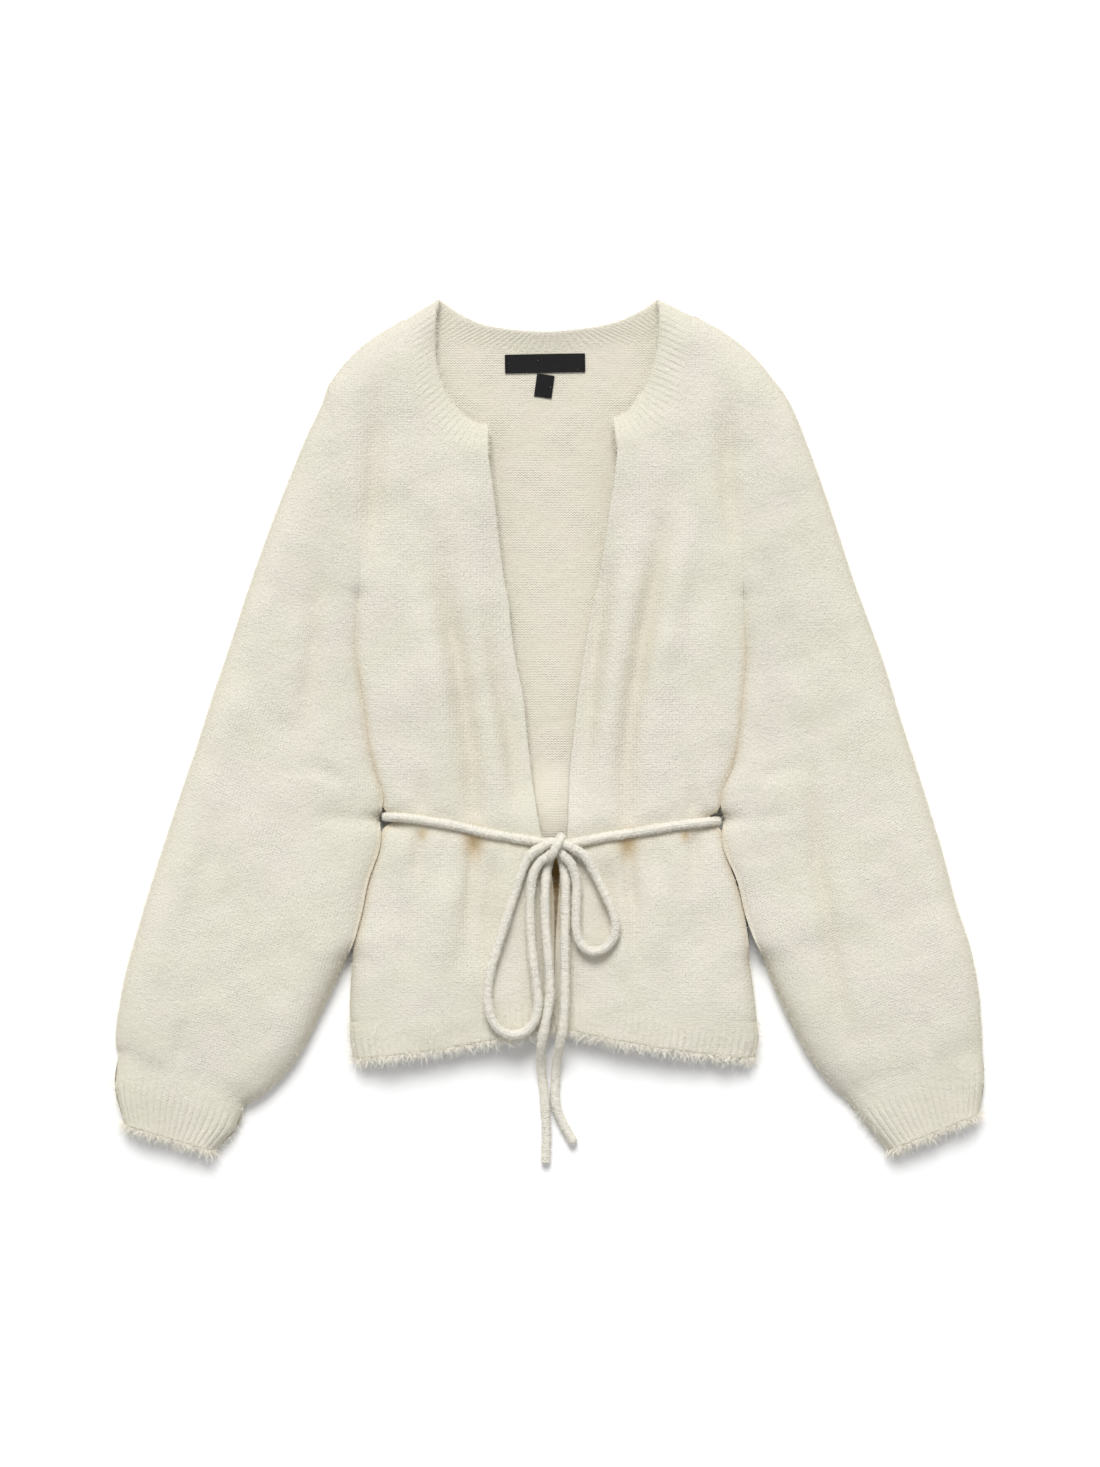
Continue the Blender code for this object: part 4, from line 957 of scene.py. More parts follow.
def front_rows_y(side):
    """y at the side of each row of a front, closer together at the shoulder."""
    _, top_y, _, low_y = ARMHOLE[side]
    height = top_y - low_y
    low = np.linspace(HEM_SEAM_Y, low_y, round((low_y - HEM_SEAM_Y) / GRID) + 1)
    corner_y = top_y - NECK_CORNER * height
    middle = np.linspace(low_y, corner_y, round((corner_y - low_y) / GRID) + 1)
    high = top_y - from_rolled_edge(NECK_CORNER * height, GRID)[::-1]
    return np.concatenate([low, middle[1:], high[1:]]), corner_y


FRONT_WIDTH = 142.0
FRONT_SHARES = from_rolled_edge(FRONT_WIDTH, GRID) / FRONT_WIDTH


def make_front(side):
    """One front, from its hem seam to the shoulder."""
    side_y, corner_y = front_rows_y(side)
    start, end, bow = front_edges(side, side_y)
    x, y = bowed(start, end, bow, FRONT_SHARES[None, :])
    width = np.hypot(*(end - start).T)[:, None]
    z = front_heights(side, x, y, (1 - FRONT_SHARES[None, :]) * width)
    low_y = ARMHOLE[side][3]
    sewn = np.zeros(x.shape, bool)
    sewn[0, :] = True
    sewn[1:-1, 0] = side_y[1:-1] > low_y
    sewn[1:-1, -1] = side_y[1:-1] >= corner_y - 0.01
    # Under the armhole the side stands out where the sleeve touches it
    beside = HIDDEN_RIM + 0.9 * tucked(side_y) / TUCK
    side_bulge = np.where(side_y > low_y, SEWN_RIM, beside)
    opening = np.where(side_y >= corner_y, SEWN_RIM, OPENING_RIM)
    return cloth_panel("knit_front_" + side, points_at(x, y, z), points_at(x, y), (KNIT, PURL),
                       (SEWN_RIM, HIDDEN_RIM, side_bulge, opening), sewn)


def make_front_hem(side):
    """The ribbed hem of one front."""
    seam_y = HEM_SEAM_Y - 2 * SEAM_HALF_GAP
    seam_opening_y = LOW_ROWS[side][0][1] - 2 * SEAM_HALF_GAP
    down = np.concatenate([np.linspace(0, 0.9, 11), (0.95, 1)])[::-1]
    side_y = seam_y - HEM_DEPTH * down
    opening_y = seam_opening_y - (HEM_DEPTH - 2) * down
    start = np.stack([side_x(side, side_y), side_y], axis=1)
    end = np.stack([opening_x(side, opening_y), opening_y], axis=1)
    ribs = round(np.hypot(*(end[0] - start[0])) / RIB_PITCH)
    shares = np.linspace(0, 1, ribs * RIB_STEPS + 1)
    edge = from_rolled_edge(FRONT_WIDTH, 5.0)[1:6] / FRONT_WIDTH
    shares = np.unique(np.round(np.concatenate([shares, edge]), 4))
    x, y = bowed(start, end, np.full(len(side_y), -HEM_BOW), shares[None, :])
    width = np.hypot(*(end - start).T)[:, None]
    z = front_heights(side, x, y, (1 - shares[None, :]) * width)
    sewn = np.zeros(x.shape, bool)
    sewn[-1, :] = True
    relief = HEM_RELIEF * np.broadcast_to(rib_relief(shares * ribs), x.shape)
    relief = relief * ease(0.12 + down[:, None] / 0.6)
    return cloth_panel("rib_hem_" + side, points_at(x, y, z), points_at(x, y), (RIB, RIB),
                       (RIB_RIM, SEWN_RIM, HIDDEN_RIM, OPENING_RIM), sewn, relief)


def off_seam(seam, edge):
    """A neckband's seam line, moved off the seam towards the band's edge."""
    out = edge - seam
    return seam + out / np.hypot(*out.T)[:, None] * 2 * SEAM_HALF_GAP


def make_neckband(side):
    """The ribbed neckband of one front, its ribs across its width."""
    table = NECKBAND[side]
    fine = np.linspace(0, NECK_CORNER, 121)
    lines = catmull(table, fine)
    steps = (np.hypot(*np.diff(lines[:, 0:2], axis=0).T)
             + np.hypot(*np.diff(lines[:, 2:4], axis=0).T)) / 2
    lengths = np.concatenate([[0], np.cumsum(steps)])
    inner = np.array([row[3:5] for row in table])
    ribs = round(1.12 * np.hypot(*np.diff(inner, axis=0).T).sum() / RIB_PITCH)
    along = np.linspace(0, 1, ribs * RIB_STEPS + 1)
    share = np.interp(along * lengths[-1], lengths, fine)
    ends = catmull(table, share)
    edge = ends[:, 2:4]
    across = np.linspace(0, 1, 12)[None, :]
    x, y = between(off_seam(ends[:, 0:2], edge), edge, across)
    z = body_height(side, x, y) - NECK_DROOP * across**2 * ease((345 - y) / 40)
    sewn = np.zeros(x.shape, bool)
    sewn[:, 0] = True
    relief = NECKBAND_RELIEF * rib_relief(along * ribs)[:, None]
    relief = relief * ease(across / 0.4) * ease(0.3 + (1 - across) / 0.2)
    uv = points_at(np.broadcast_to(along[:, None] * lengths[-1], x.shape),
                   np.broadcast_to(across * 26, x.shape))
    return cloth_panel("rib_neckband_" + side, points_at(x, y, z), uv, (RIB, RIB),
                       (SHOULDER_RIM, OPENING_RIM, SEWN_RIM, RIB_RIM), sewn, relief)


def neck_seam_line():
    """The top of the back panel, from one armhole to the other: x, y."""
    left, right = shoulder_line("left", 9)[:-1], shoulder_line("right", 9)[:-1]
    return np.concatenate([left, BACK_NECK_SEAM, right[::-1]])


def arch(y, share):
    """Rise of a lower row of the back, as the wrapped fronts pull its hem up."""
    return (HEM_ARCH * catmull(BACK_ARCH, y)[..., 0]
            * (1.006 - np.sqrt((2 * share - 1) ** 2 + 0.012)))


def make_back():
    """The back panel: flat on the surface, and raised over the belt that passes under it."""
    low = np.linspace(HEM_SEAM_Y, ARMHOLE["left"][3], 125)
    share_up = from_rolled_edge(170, 2.6)[::-1] / 170
    start, end = (
        np.concatenate([np.stack([side_x(side, low), low], axis=1),
                        np.stack(armhole_point(side, share_up[1:], -SEAM_HALF_GAP), axis=1)])
        for side in SIDES)
    lift = np.concatenate([np.zeros(len(low)), 1 - share_up[1:]])[:, None]
    top = neck_seam_line()
    share = np.linspace(0, 1, 113)[None, :]
    top_x = top[0, 0] + (top[-1, 0] - top[0, 0]) * share[0]
    bulge = catmull(top, top_x)[:, 0] - (top[0, 1] + (top[-1, 1] - top[0, 1]) * share[0])
    x, y = between(start, end, share)
    y = y + bulge[None, :] * lift**1.3
    y = y + arch(np.broadcast_to(start[:, 1:], x.shape), share)
    # A little warm tint all over, and painted warm shade under the knot
    painted_warm_shade = np.clip(0.08 + 1.2 * under_knot(x, y), 0, 1)
    neck = np.where(np.abs(top_x) < 115, BACK_RIM, HIDDEN_RIM)
    return shell("knit_back", points_at(x, y, back_top(x, y)), points_at(x, y, belt_ridge(x, y)),
                 points_at(x, y), (PURL, KNIT), painted_warm_shade, np.full(x.shape, 0.04),
                 (BACK_RIM, neck, HIDDEN_RIM, HIDDEN_RIM))


def make_back_hem():
    """The hem of the back, its ribs sunk in its upper face because it rests on the other."""
    seam_y = HEM_SEAM_Y - 2 * SEAM_HALF_GAP
    side_y = np.concatenate([[seam_y - HEM_DEPTH + 1, seam_y - HEM_DEPTH + 2],
                             np.linspace(seam_y - HEM_DEPTH + 4, seam_y, 10)])
    left, right = side_x("left", side_y)[:, None], side_x("right", side_y)[:, None]
    ribs = round(float((right - left)[0, 0]) / RIB_PITCH)
    share = np.linspace(0, 1, ribs * 6 + 1)[None, :]
    x = left + (right - left) * share
    y = side_y[:, None] + arch(np.broadcast_to(side_y[:, None], x.shape), share)
    sunk = rib_relief(share * ribs) - 0.4 * RIB_DEPTH
    over = points_at(x, y, WALL + np.broadcast_to(sunk, x.shape) * 0.7)
    flat = np.full(x.shape, 0.2)
    return shell("rib_hem_back", over, points_at(x, y, np.zeros(x.shape)), points_at(x, y),
                 (RIB, RIB), flat, flat, (RIB_RIM, BACK_RIM, HIDDEN_RIM, HIDDEN_RIM))


def evenly_along(line, share):
    """Plan points at shares of a line's points."""
    count = len(line) - 1
    return catmull([(i / count, *point) for i, point in enumerate(line)], share)


def make_back_neckband():
    """The neckband inside the back neck, which leans up towards its top edge."""
    ribs = round(1.15 * (BACK_NECK_SEAM[-1][0] - BACK_NECK_SEAM[0][0]) / RIB_PITCH)
    share = np.linspace(0, 1, ribs * RIB_STEPS + 1)
    edge = evenly_along(BACK_NECK_TOP, share)
    step = np.linspace(0, 1, 10)[None, :]
    x, y = between(off_seam(evenly_along(BACK_NECK_SEAM, share), edge), edge, step)
    lift = BACK_NECK_LIFT * step**1.5 * np.maximum(1 - (x / BACK_NECK_HALF) ** 2, 0)
    raised = BACK_NECKBAND_RELIEF * rib_relief(share * ribs)[:, None]
    raised = raised * ease(step / 0.3) * ease(0.3 + (1 - step) / 0.2)
    flat = np.full(x.shape, 0.05)
    return shell("rib_neckband_back", points_at(x, y, lift + WALL + 0.6 * raised - 0.3),
                 points_at(x, y, lift), points_at(x, y), (RIB, RIB), flat, flat,
                 (HIDDEN_RIM, HIDDEN_RIM, BACK_RIM, RIB_RIM))


# The underside of a tube: how much of its width each edge takes to come down, in what steps
UNDER_CORNER = 0.07
UNDER_TURNS = 6
UNDER_STEPS = 34


def tube_shell(name, x, y, z, plan, uv_v, finishes, bulge, relief=None):
    """A flattened tube: an upper face on a grid from edge to edge, and a flat underside.

    x, y and z are the upper face. plan gives x, or y for column 1, at shares of the width.
    """
    columns = x.shape[1]
    turn = np.linspace(0, math.pi / 2, UNDER_TURNS)[1:]
    corner = UNDER_CORNER * (1 - np.cos(turn))
    low_z = EDGE_HEIGHT * (1 - np.sin(turn))
    flat_shares = np.linspace(1 - UNDER_CORNER, UNDER_CORNER, UNDER_STEPS)[1:-1]
    shares = np.concatenate([1 - corner, flat_shares, corner[::-1]])
    heights = np.concatenate([low_z, np.zeros(len(flat_shares)), low_z[::-1]])
    under_x, under_y = plan(shares, 0), plan(shares, 1)
    under_z = np.broadcast_to(heights, under_x.shape)
    over = np.concatenate([points_at(x, y, z), points_at(under_x, under_y, under_z)], axis=1)
    start, end = over[:, :1, :2], over[:, columns - 1:columns, :2]
    width = np.linalg.norm(end - start, axis=2)
    across = (end - start) / width[..., None]
    at = np.einsum("ijk,ilk->ij", over[..., :2] - start, across)
    slope = np.gradient(z, axis=1) / np.maximum(np.gradient(at[:, :columns], axis=1), 0.3)
    thick = WALL * np.minimum(np.sqrt(1 + slope**2), 2.2)
    inner_z = np.concatenate([np.maximum(z - thick, WALL + 0.15), under_z * 0 + WALL], axis=1)
    shift = (WALL + at * (width - 2 * WALL) / width - at)[..., None] * across
    inner = np.concatenate([over[..., :2] + shift, inner_z[..., None]], axis=2)
    top = over[:, :columns]
    normal = facing(top)
    if relief is not None:
        top = top + normal * relief[..., None]
        over = np.concatenate([top, over[:, columns:]], axis=1)
    # Painted warm shade in the hollows of the upper face
    painted_warm_shade = np.zeros(over.shape[:2])
    painted_warm_shade[:, :columns] = hollows(x, y)
    halo = np.zeros(over.shape[:2])
    fringe = 1.0 if relief is None else CUFF_HALO
    halo[:, :columns] = stray(normal) * fringe
    halo[:, columns:columns + 4] = TUBE_EDGE_HALO * fringe
    halo[:, -4:] = TUBE_EDGE_HALO * fringe
    ring_u = np.concatenate([at[:, :columns], 2 * width - at[:, columns:], 2 * width], axis=1)
    uv = points_at(ring_u, np.broadcast_to(uv_v[:, None], ring_u.shape))
    return shell(name, over, inner, uv, finishes, painted_warm_shade, halo, bulge, ring=True)


SLEEVE_WIDTH = 138.0
ARMHOLE_ROWS = 3
GATHERS = 13


def tube_shares(width, step):
    """Shares across a tube, closer together at both rolled edges."""
    half = from_rolled_edge(width / 2, step) / width
    return np.concatenate([half, 1 - half[-2::-1]])


def middle_lengths(table):
    """Lengths along the middle of a tube, one for each row of its table."""
    middle = (table[:, 0:2] + table[:, 2:4]) / 2
    return np.concatenate([[0], np.cumsum(np.hypot(*np.diff(middle, axis=0).T))])


def across_tube(ends, shares, column):
    """x, or y for column 1, at shares of the way from a tube's outer edge to its inner one."""
    start, end = ends[:, column:column + 1], ends[:, column + 2:column + 3]
    return start + (end - start) * shares[None, :]


def make_sleeve(side):
    """One sleeve, a flattened tube from the armhole to the cuff."""
    table = np.array(SLEEVE[side], float)
    lengths = middle_lengths(table)
    along = np.linspace(0, lengths[-1], round(lengths[-1] / GRID) + 1)
    step = np.interp(along, lengths, np.arange(len(table)))
    ends = sleeve_ends(side, step)
    fade = np.clip(1 - step / ARMHOLE_ROWS, 0, 1)[:, None]
    near = np.where(step < ARMHOLE_ROWS, 1.0, 0.0)[:, None]

    def plan(shares, column):
        place = across_tube(ends, shares, column)
        if column == 0:
            out = ARMHOLE_BOW * np.sin(math.pi * shares[None, :] ** 1.5) * fade
            place = place - sign(side) * near * (out + SEAM_HALF_GAP)
            touching = TUCK_SWELL * tucked(ends[:, 3:4]) / TUCK * shares[None, :] ** TUCK_POWER
            place = place - sign(side) * touching * ease(step / 0.6)[:, None]
        return place

    shares = tube_shares(SLEEVE_WIDTH, GRID)
    x, y = plan(shares, 0), plan(shares, 1)
    length_share = np.broadcast_to(step[:, None] / (len(table) - 1), x.shape)
    z = sleeve_height(side, length_share, x, y)
    # Gathers where the wide sleeve is drawn into its cuff
    from_cuff = (lengths[-1] - along)[:, None]
    gather = np.cos(shares[None, :] * 2 * math.pi * GATHERS + 0.8 * np.sin(shares[None, :] * 17))
    z = z + 0.12 * gather * np.exp(-((from_cuff / 17) ** 2)) * ease(z / 9 - 0.6)
    z[:, 0] = EDGE_HEIGHT
    return tube_shell("knit_sleeve_" + side, x, y, z, plan, -along, (KNIT, PURL),
                      (SEWN_RIM, SEWN_RIM))


def make_cuff(side):
    """One cuff, a ribbed tube that the sleeve is gathered into."""
    table = np.array(CUFF[side], float)
    lengths = middle_lengths(table)
    along = np.concatenate([[0, 0.8], np.linspace(2, lengths[-1] - 2, 22),
                            [lengths[-1] - 0.8, lengths[-1]]])
    step = np.interp(along, lengths, np.arange(len(table)))
    ends = catmull(np.column_stack([np.arange(len(table)), table]), step)
    shares = np.linspace(0, 1, CUFF_RIBS * RIB_STEPS + 1)
    shares = np.unique(np.concatenate([shares, (0.0015, 0.004, 0.996, 0.9985)]))

    def plan(shares, column):
        return across_tube(ends, shares, column)

    x, y = plan(shares, 0), plan(shares, 1)
    # The cuff starts as round as the sleeve, and is rounder at its opening
    tight = 1 + 0.8 * ease(step / 1.4)[:, None]
    away = (roll(tight * nearest(x, y, OUTER_LINE[side])[0])
            * roll(tight * nearest(x, y, INNER_LINE[side])[0]))
    # The sleeve's folds end in the cuff
    own = ease(along / 22)[:, None]
    uneven = unevenness(x, y) * (1 - own) - 0.7 * waves(x, y) * own
    rise = catmull(list(enumerate(CUFF_RISE)), step)
    z = EDGE_HEIGHT + (rise - uneven - EDGE_HEIGHT) * away
    z[:, 0] = EDGE_HEIGHT
    z[:, -1] = EDGE_HEIGHT
    relief = CUFF_RELIEF * np.broadcast_to(rib_relief(shares * CUFF_RIBS), x.shape)
    relief = relief * ease(away * 1.6 - 0.3)
    relief = relief * ease(0.35 + (lengths[-1] - along)[:, None] / 5)
    relief = relief * ease(0.05 + along[:, None] / 20)
    return tube_shell("rib_cuff_" + side, x, y, z, plan, -along, (RIB, RIB),
                      (SEWN_RIM, RIB_RIM), relief)


def lengths_along(points):
    """Lengths from the start of a line to each of its points."""
    steps = np.linalg.norm(np.diff(points, axis=0), axis=1)
    return np.concatenate([[0], np.cumsum(steps)])


def centreline(route, step):
    """Points every step along a smooth curve through a route, and its length."""
    points = np.array(route, float)
    lengths = lengths_along(points)
    at = np.linspace(0, lengths[-1], math.ceil(lengths[-1] / step) + 1)
    line = catmull(np.column_stack([lengths, points]), at)
    return line, np.linalg.norm(np.diff(line, axis=0), axis=1).sum()


CAP_TURNS = (0.25, 0.8, 1.2)


def cord_rings(route, radius, ends=CORD_ENDS):
    """Rings of a round cord, the knit's places on them, and the cord's line and length.

    ends gives how long its two rounded ends are.
    """
    line, length = centreline(route, CORD_STEP)
    lengths = lengths_along(line)
    far = lengths[-1]
    caps = [ends[0] * (1 - math.cos(turn)) for turn in CAP_TURNS]
    tips = [far - ends[1] * (1 - math.cos(turn)) for turn in CAP_TURNS]
    middle = lengths[(lengths > ends[0]) & (lengths < far - ends[1])]
    at = np.unique(np.concatenate([caps, middle, tips, [0, far]]))
    line = np.stack([np.interp(at, lengths, line[:, k]) for k in range(3)], axis=1)
    heading = np.gradient(line, axis=0)
    heading /= np.linalg.norm(heading, axis=1)[:, None]
    side = np.cross(heading[0], (0, 0, 1.0))
    sides = []
    for ahead in heading:
        side = side - ahead * (side @ ahead)
        side = side / np.linalg.norm(side)
        sides.append(side)
    sides = np.array(sides)
    others = np.cross(heading, sides)
    start = np.clip(1 - at / ends[0], 0, 1)
    finish = np.clip(1 - (far - at) / ends[1], 0, 1)
    size = radius * np.sqrt(np.maximum(1 - np.maximum(start, finish) ** 2, 0.03))
    turns = np.linspace(0, 2 * math.pi, CORD_SIDES + 1)
    # A knitted cord is a little uneven, with eight plump columns of stitches round it
    plump = 1 + 0.018 * np.cos(8 * turns)[None, :] + 0.03 * np.sin(at / 5.3)[:, None]
    knots = np.random.default_rng(5).normal(0, CORD_UNEVENNESS, (len(at), CORD_SIDES))
    knots = (knots + 0.5 * (np.roll(knots, 1, axis=1) + np.roll(knots, -1, axis=1))) / 1.3
    plump = plump + np.concatenate([knots, knots[:, :1]], axis=1)
    reach = size[:, None] * plump
    rings = (line[:, None, :] + sides[:, None, :] * (np.cos(turns)[None, :] * reach)[..., None]
             + others[:, None, :] * (np.sin(turns)[None, :] * reach)[..., None])
    uv = points_at(np.broadcast_to(turns * radius, reach.shape),
                   np.broadcast_to(at[:, None], reach.shape))
    return rings[:, :-1], uv, line, length


def run_on(route, length):
    """A route that goes straight on by a length at both ends, into the cords that it meets."""
    points = np.array(route, float)
    start, end = points[0] - points[1], points[-1] - points[-2]
    start, end = start / np.linalg.norm(start), end / np.linalg.norm(end)
    return np.concatenate([[points[0] + start * length], points, [points[-1] + end * length]])


def cord_piece(name, strands):
    """One mesh of one or more cords, each with rounded ends."""
    points, faces, uvs = [], [], []
    total = 0
    for rings, uv, _, _ in strands:
        rows, columns = rings.shape[:2]
        ids = np.arange(rows * columns).reshape(rows, columns)
        ids = np.concatenate([ids, ids[:, :1]], axis=1)
        quads = corners_of(ids)[:, (0, 3, 2, 1)]
        places = corners_of(uv)[:, (0, 3, 2, 1)]
        flat = rings.reshape(-1, 3)
        out = flat[quads].mean(axis=1) - rings.mean(axis=1)[:-1].repeat(columns, axis=0)
        normal = np.cross(flat[quads[:, 2]] - flat[quads[:, 0]],
                          flat[quads[:, 3]] - flat[quads[:, 1]])
        caps = [ids[0, :-1], ids[-1, :-1][::-1]]
        if np.einsum("ij,ij->", normal, out) < 0:
            quads, places = quads[:, ::-1], places[:, ::-1]
            caps = [cap[::-1] for cap in caps]
        faces.extend((quads + total).tolist())
        faces.extend((cap + total).tolist() for cap in caps)
        uvs += [places.reshape(-1, 2), np.tile(uv[0, 0], (columns, 1)),
                np.tile(uv[-1, 0], (columns, 1))]
        points.append(flat)
        total += len(flat)
    return piece(name, np.concatenate(points), faces, np.concatenate(uvs), (CORD_KNIT,),
                 np.zeros(len(faces)), {"painted_warm_shade": np.zeros(total), "halo": np.full(total, CORD_HALO)})


def on_label(sizes, across, up):
    """Plan points of places on a label, which lies turned."""
    turn = math.radians(sizes[5])
    return (sizes[0] + across * math.cos(turn) - up * math.sin(turn),
            sizes[1] + across * math.sin(turn) + up * math.cos(turn))


def make_label(name, sizes, sag):
    """A bare woven label, thin and a little wavy."""
    width, height, thickness = sizes[2:5]
    u = np.linspace(-0.5, 0.5, 33)[None, :]
    v = np.linspace(-0.5, 0.5, 13)[:, None]
    across, up = u * width + 0 * v, v * height + 0 * u
    x, y = on_label(sizes, across, up)
    lift = sag * (0.35 + 0.65 * np.cos(math.pi * u) ** 2) * (0.5 + 0.5 * np.sin(2.2 * v + 3.1 * u))
    zero = np.zeros(x.shape)
    return shell(name, points_at(x, y, EDGE_HEIGHT + thickness + lift),
                 points_at(x, y, EDGE_HEIGHT + lift * 0.9), points_at(across, up),
                 (LABEL_TAPE, LABEL_TAPE), zero, zero, (LABEL_RIM,) * 4)


def end_stitches(name, sizes):
    """Short stitches that sew both ends of the main label down, on one mesh."""
    width, height, thickness = sizes[2:5]
    strands = []
    for end in (-1, 1):
        for k in range(6):
            x, y = on_label(sizes, end * (width / 2 - 1.5), (k - 2.5) * height / 6.4)
            z = EDGE_HEIGHT + thickness + 0.35
            route = ((x - 0.9, y - 0.2, z - 0.5), (x, y, z), (x + 0.9, y + 0.2, z - 0.5))
            strands.append(cord_rings(route, 0.28, (0.3, 0.3)))
    made = cord_piece(name, strands)
    made.data.materials[0] = STITCH_THREAD
    return made


# What the fibre tree takes, by its sockets' names
FIBRE_INPUTS = {
    "Cloth": "Geometry", "Fibres per square metre": "Float", "Length": "Float",
    "Width": "Float", "Bend": "Float", "Lean": "Float", "Seed": "Int", "Finish": "Material",
}
FIBRE_LOWEST = 0.3 * MM


def fibre_tree():
    """Geometry Nodes that grow short bent fibres on a mesh, as thin tapered ribbons."""
    tree = bpy.data.node_groups.new("brushed_fibres", "GeometryNodeTree")
    sockets = tree.interface
    for name, kind in FIBRE_INPUTS.items():
        sockets.new_socket(name, in_out="INPUT", socket_type="NodeSocket" + kind)
    sockets.new_socket("Fibres", in_out="OUTPUT", socket_type="NodeSocketGeometry")
    given = add(tree, "NodeGroupInput").outputs
    halo = add(tree, "GeometryNodeInputNamedAttribute", {"Name": "halo"}, data_type="FLOAT")
    thick = maths(tree, "MULTIPLY", halo.outputs[0], given["Fibres per square metre"])
    roots = add(tree, "GeometryNodeDistributePointsOnFaces",
                {"Mesh": given["Cloth"], "Density": thick, "Seed": given["Seed"]})
    line = add(tree, "GeometryNodeCurvePrimitiveLine", {"End": (0.0, 0.0, 1.0)})
    strand = add(tree, "GeometryNodeResampleCurve", {"Curve": line.outputs[0], "Count": 4})
    # Each fibre leans and turns by chance, and has its own length
    tilt = add(tree, "ShaderNodeCombineXYZ", {0: given["Lean"], 1: given["Lean"], 2: 3.14})
    untilt = add(tree, "ShaderNodeVectorMath", {0: tilt.outputs[0], 1: (-1.0, -1.0, -1.0)},
                 operation="MULTIPLY")
    lean = add(tree, "FunctionNodeRandomValue",
               {0: untilt.outputs[0], 1: tilt.outputs[0], "Seed": given["Seed"]},
               data_type="FLOAT_VECTOR")
    by = add(tree, "FunctionNodeEulerToRotation", {0: lean.outputs[0]})
    turned = add(tree, "FunctionNodeRotateRotation",
                 {0: roots.outputs["Rotation"], 1: by.outputs[0]}, rotation_space="LOCAL")
    chance = add(tree, "FunctionNodeRandomValue", {2: 0.35, 3: 1.3, "Seed": given["Seed"]},
                 data_type="FLOAT")
    length = maths(tree, "MULTIPLY", chance.outputs[1], given["Length"])
    placed = add(tree, "GeometryNodeInstanceOnPoints",
                 {"Points": roots.outputs["Points"], "Instance": strand.outputs[0],
                  "Rotation": turned.outputs[0], "Scale": length})
    real = add(tree, "GeometryNodeRealizeInstances", {0: placed.outputs[0]})
    # Fibres bend more towards their tips
    where = add(tree, "GeometryNodeInputPosition")
    drift = add(tree, "ShaderNodeTexNoise", {"Vector": where.outputs[0], "Scale": 380.0})
    centred = add(tree, "ShaderNodeVectorMath", {0: drift.outputs[1], 1: (0.5, 0.5, 0.5)},
                  operation="SUBTRACT")
    along = add(tree, "GeometryNodeSplineParameter")
    growing = maths(tree, "MULTIPLY", along.outputs[0], given["Bend"])
    offset = add(tree, "ShaderNodeVectorMath", {0: centred.outputs[0], "Scale": growing},
                 operation="SCALE")
    bent = add(tree, "GeometryNodeSetPosition",
               {"Geometry": real.outputs[0], "Offset": offset.outputs[0]})
    # Fibres lie on the table and don't go through it
    reached = add(tree, "GeometryNodeInputPosition")
    split = add(tree, "ShaderNodeSeparateXYZ", {0: reached.outputs[0]})
    above = maths(tree, "MAXIMUM", split.outputs["Z"], FIBRE_LOWEST)
    resting = add(tree, "ShaderNodeCombineXYZ",
                  {0: split.outputs["X"], 1: split.outputs["Y"], 2: above})
    laid = add(tree, "GeometryNodeSetPosition",
               {"Geometry": bent.outputs[0], "Position": resting.outputs[0]})
    taper = maths(tree, "MULTIPLY_ADD", along.outputs[0], -0.6, 1.0)
    profile = add(tree, "GeometryNodeCurvePrimitiveLine",
                  {"Start": (-0.5, 0.0, 0.0), "End": (0.5, 0.0, 0.0)})
    ribbon = add(tree, "GeometryNodeCurveToMesh",
                 {"Curve": laid.outputs[0], "Profile Curve": profile.outputs[0],
                  "Scale": maths(tree, "MULTIPLY", taper, given["Width"])})
    whole = add(tree, "GeometryNodeRealizeInstances", {0: ribbon.outputs[0]})
    dressed = add(tree, "GeometryNodeSetMaterial",
                  {"Geometry": whole.outputs[0], "Material": given["Finish"]})
    add(tree, "NodeGroupOutput", {"Fibres": dressed.outputs[0]})
    return tree


FIBRE_TREE = fibre_tree()


def fibres(name, carrier, sizes):
    """Fibres grown on a finished piece, as a plain mesh of their own."""
    modifier = carrier.modifiers.new("fibres", "NODES")
    modifier.node_group = FIBRE_TREE
    values = {**sizes, "Finish": FIBRE}
    for socket in FIBRE_TREE.interface.items_tree:
        if socket.name in values and socket.in_out == "INPUT":
            modifier[socket.identifier] = values[socket.name]
    bpy.context.view_layer.update()
    evaluated = carrier.evaluated_get(bpy.context.evaluated_depsgraph_get())
    mesh = bpy.data.meshes.new_from_object(evaluated)
    carrier.modifiers.remove(modifier)
    mesh.name = name
    made = bpy.data.objects.new(name, mesh)
    bpy.context.scene.collection.objects.link(made)
    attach(made, "root")
    return made


def stand_for(made, slot, *nodes):
    """A finished piece rides with the garment and stands for its CAD nodes."""
    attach(made, "root")
    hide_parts(*nodes)


# The camera looks straight down, as the photograph does, with the neck at the top
camera_data = bpy.data.cameras.new("camera")
camera_data.sensor_fit = "VERTICAL"
camera_data.sensor_height = SENSOR
camera_data.lens = SENSOR * (CAMERA_HEIGHT - VIEW_PLANE) / VIEW_HEIGHT
camera = bpy.data.objects.new("camera", camera_data)
camera.location = (0, -ORIGIN_Y * MM, CAMERA_HEIGHT)
bpy.context.scene.collection.objects.link(camera)
bpy.context.scene.camera = camera

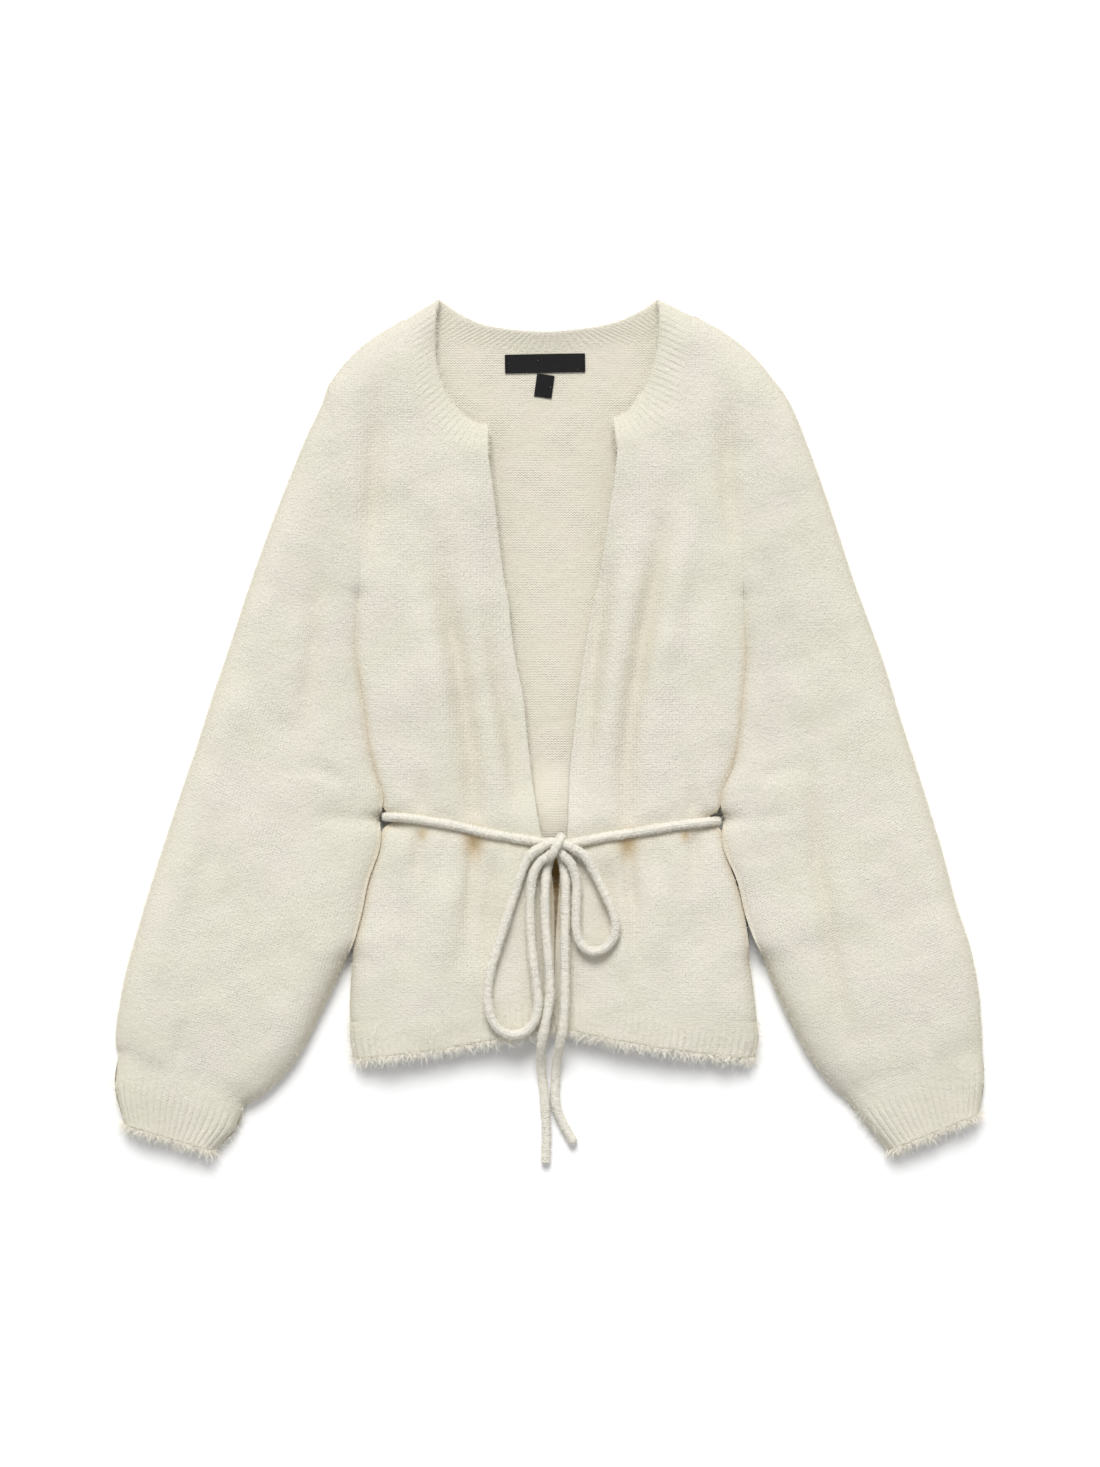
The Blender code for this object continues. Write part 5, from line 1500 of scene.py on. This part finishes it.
# The belt: each stretch, and the free loops and tails, as cords along their routes
HELD_STRETCHES = {
    "belt_front_left": BELT_FRONT_LEFT, "belt_front_right": BELT_FRONT_RIGHT,
    "belt_back": BELT_BACK,
}
FREE_CORDS = {
    "bow_loop_left": (BOW_LOOP_LEFT, "object"), "bow_loop_right": (BOW_LOOP_RIGHT, "object"),
    "belt_tail_left": (BELT_TAIL_LEFT, "bare"), "belt_tail_right": (BELT_TAIL_RIGHT, "bare"),
}
cords = []
for node, route in HELD_STRETCHES.items():
    made = cord_piece("cord_" + node, [cord_rings(route, CORD_RADIUS)])
    stand_for(made, "cord", node)
    cords.append(made)
strands = [cord_rings(run_on(route, KNOT_RUN_ON), radius) for radius, route in KNOT_STRANDS]
knot = cord_piece("cord_knot", strands)
stand_for(knot, "cord", "belt_knot")
cords.append(knot)
for node, (route, far_end) in FREE_CORDS.items():
    rings = cord_rings(route, CORD_RADIUS, SHORT_CORD_ENDS)
    made = cord_piece("cord_" + node, [rings])
    stand_for(made, "cord", node)
    path = (rings[2] - (0, ORIGIN_Y, 0)) * MM
    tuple(path[0])
    cords.append(made)

# The knitted panels
panels = []


def cloth(made, slot, node):
    stand_for(made, slot, node)
    panels.append(made)


back = make_back()
cloth(back, "knit", "back")
hem_back = make_back_hem()
cloth(hem_back, "rib", "hem_back")
band_back = make_back_neckband()
cloth(band_back, "rib", "neckband_back")
for side in SIDES:
    cloth(make_front(side), "knit", "front_" + side)
    cloth(make_front_hem(side), "rib", "hem_front_" + side)
    cloth(make_neckband(side), "rib", "neckband_" + side)
    cloth(make_sleeve(side), "knit", "sleeve_" + side)
    cloth(make_cuff(side), "rib", "cuff_" + side)

# The bare labels, sewn to the inside of the back under the neckband
LABELS = (("main", MAIN_LABEL, 0.5, (0.064, 0.0146)), ("care", CARE_LABEL, 0.9, (0.0138, 0.018)))
for name, sizes, sag, flat in LABELS:
    made = make_label("label_tape_" + name, sizes, sag)
    stand_for(made, "label", "label_" + name)
sewing = end_stitches("label_stitches", MAIN_LABEL)
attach(sewing, "root")

# Fibres: sizes for a panel, a hem and a cord
PANEL_FIBRES = {"Fibres per square metre": 3.6e5, "Length": 2.8 * MM, "Width": 0.2 * MM,
                "Bend": 3.0 * MM, "Lean": 1.2}
HEM_FIBRES = {"Fibres per square metre": 9.0e5, "Length": 9.5 * MM, "Width": 0.24 * MM,
              "Bend": 9.0 * MM, "Lean": 1.15}
CORD_FIBRES = {"Fibres per square metre": 1.5e6, "Length": 1.2 * MM, "Width": 0.2 * MM,
               "Bend": 1.4 * MM, "Lean": 1.2}
for number, made in enumerate(panels + cords):
    sizes = PANEL_FIBRES
    if made in cords:
        sizes = CORD_FIBRES
    elif made.name.startswith(("rib_hem", "rib_cuff")):
        sizes = HEM_FIBRES
    fibres("fuzz_" + made.name, made, {**sizes, "Seed": number + 1})

# A white table top, and soft studio light that comes most from the neck's side
stage_data = bpy.data.meshes.new("table_top")
HALF = 6.0
stage_data.from_pydata([(-HALF, -HALF, -0.0002), (HALF, -HALF, -0.0002), (HALF, HALF, -0.0002),
                        (-HALF, HALF, -0.0002)], [], [(0, 1, 2, 3)])
stage_data.materials.append(plain_matt("white_table_paper", "FDFDFD", 1.0))
table_top = bpy.data.objects.new("table_top", stage_data)
bpy.context.scene.collection.objects.link(table_top)


def soft_sun(name, heading, elevation, share, softness):
    """An even soft light, by where it comes from, in degrees, and its share of the table's light."""
    data = bpy.data.lights.new(name, "SUN")
    data.angle = math.radians(softness)
    data.energy = share * math.pi / math.sin(math.radians(elevation))
    lamp = bpy.data.objects.new(name, data)
    lamp.rotation_euler = (math.radians(elevation - 90), 0, math.radians(heading))
    lamp.location = (0, 1, 2)
    bpy.context.scene.collection.objects.link(lamp)
    return lamp


soft_sun("window_beyond_neck", 5, 44, 0.63, 28)
world = bpy.data.worlds.new("studio")
world.use_nodes = True
world.node_tree.nodes["Background"].inputs[0].default_value = (1, 1, 1, 1)
world.node_tree.nodes["Background"].inputs[1].default_value = 0.47
bpy.context.scene.world = world
bpy.context.scene.view_settings.view_transform = "Standard"
bpy.context.scene.view_settings.look = "None"
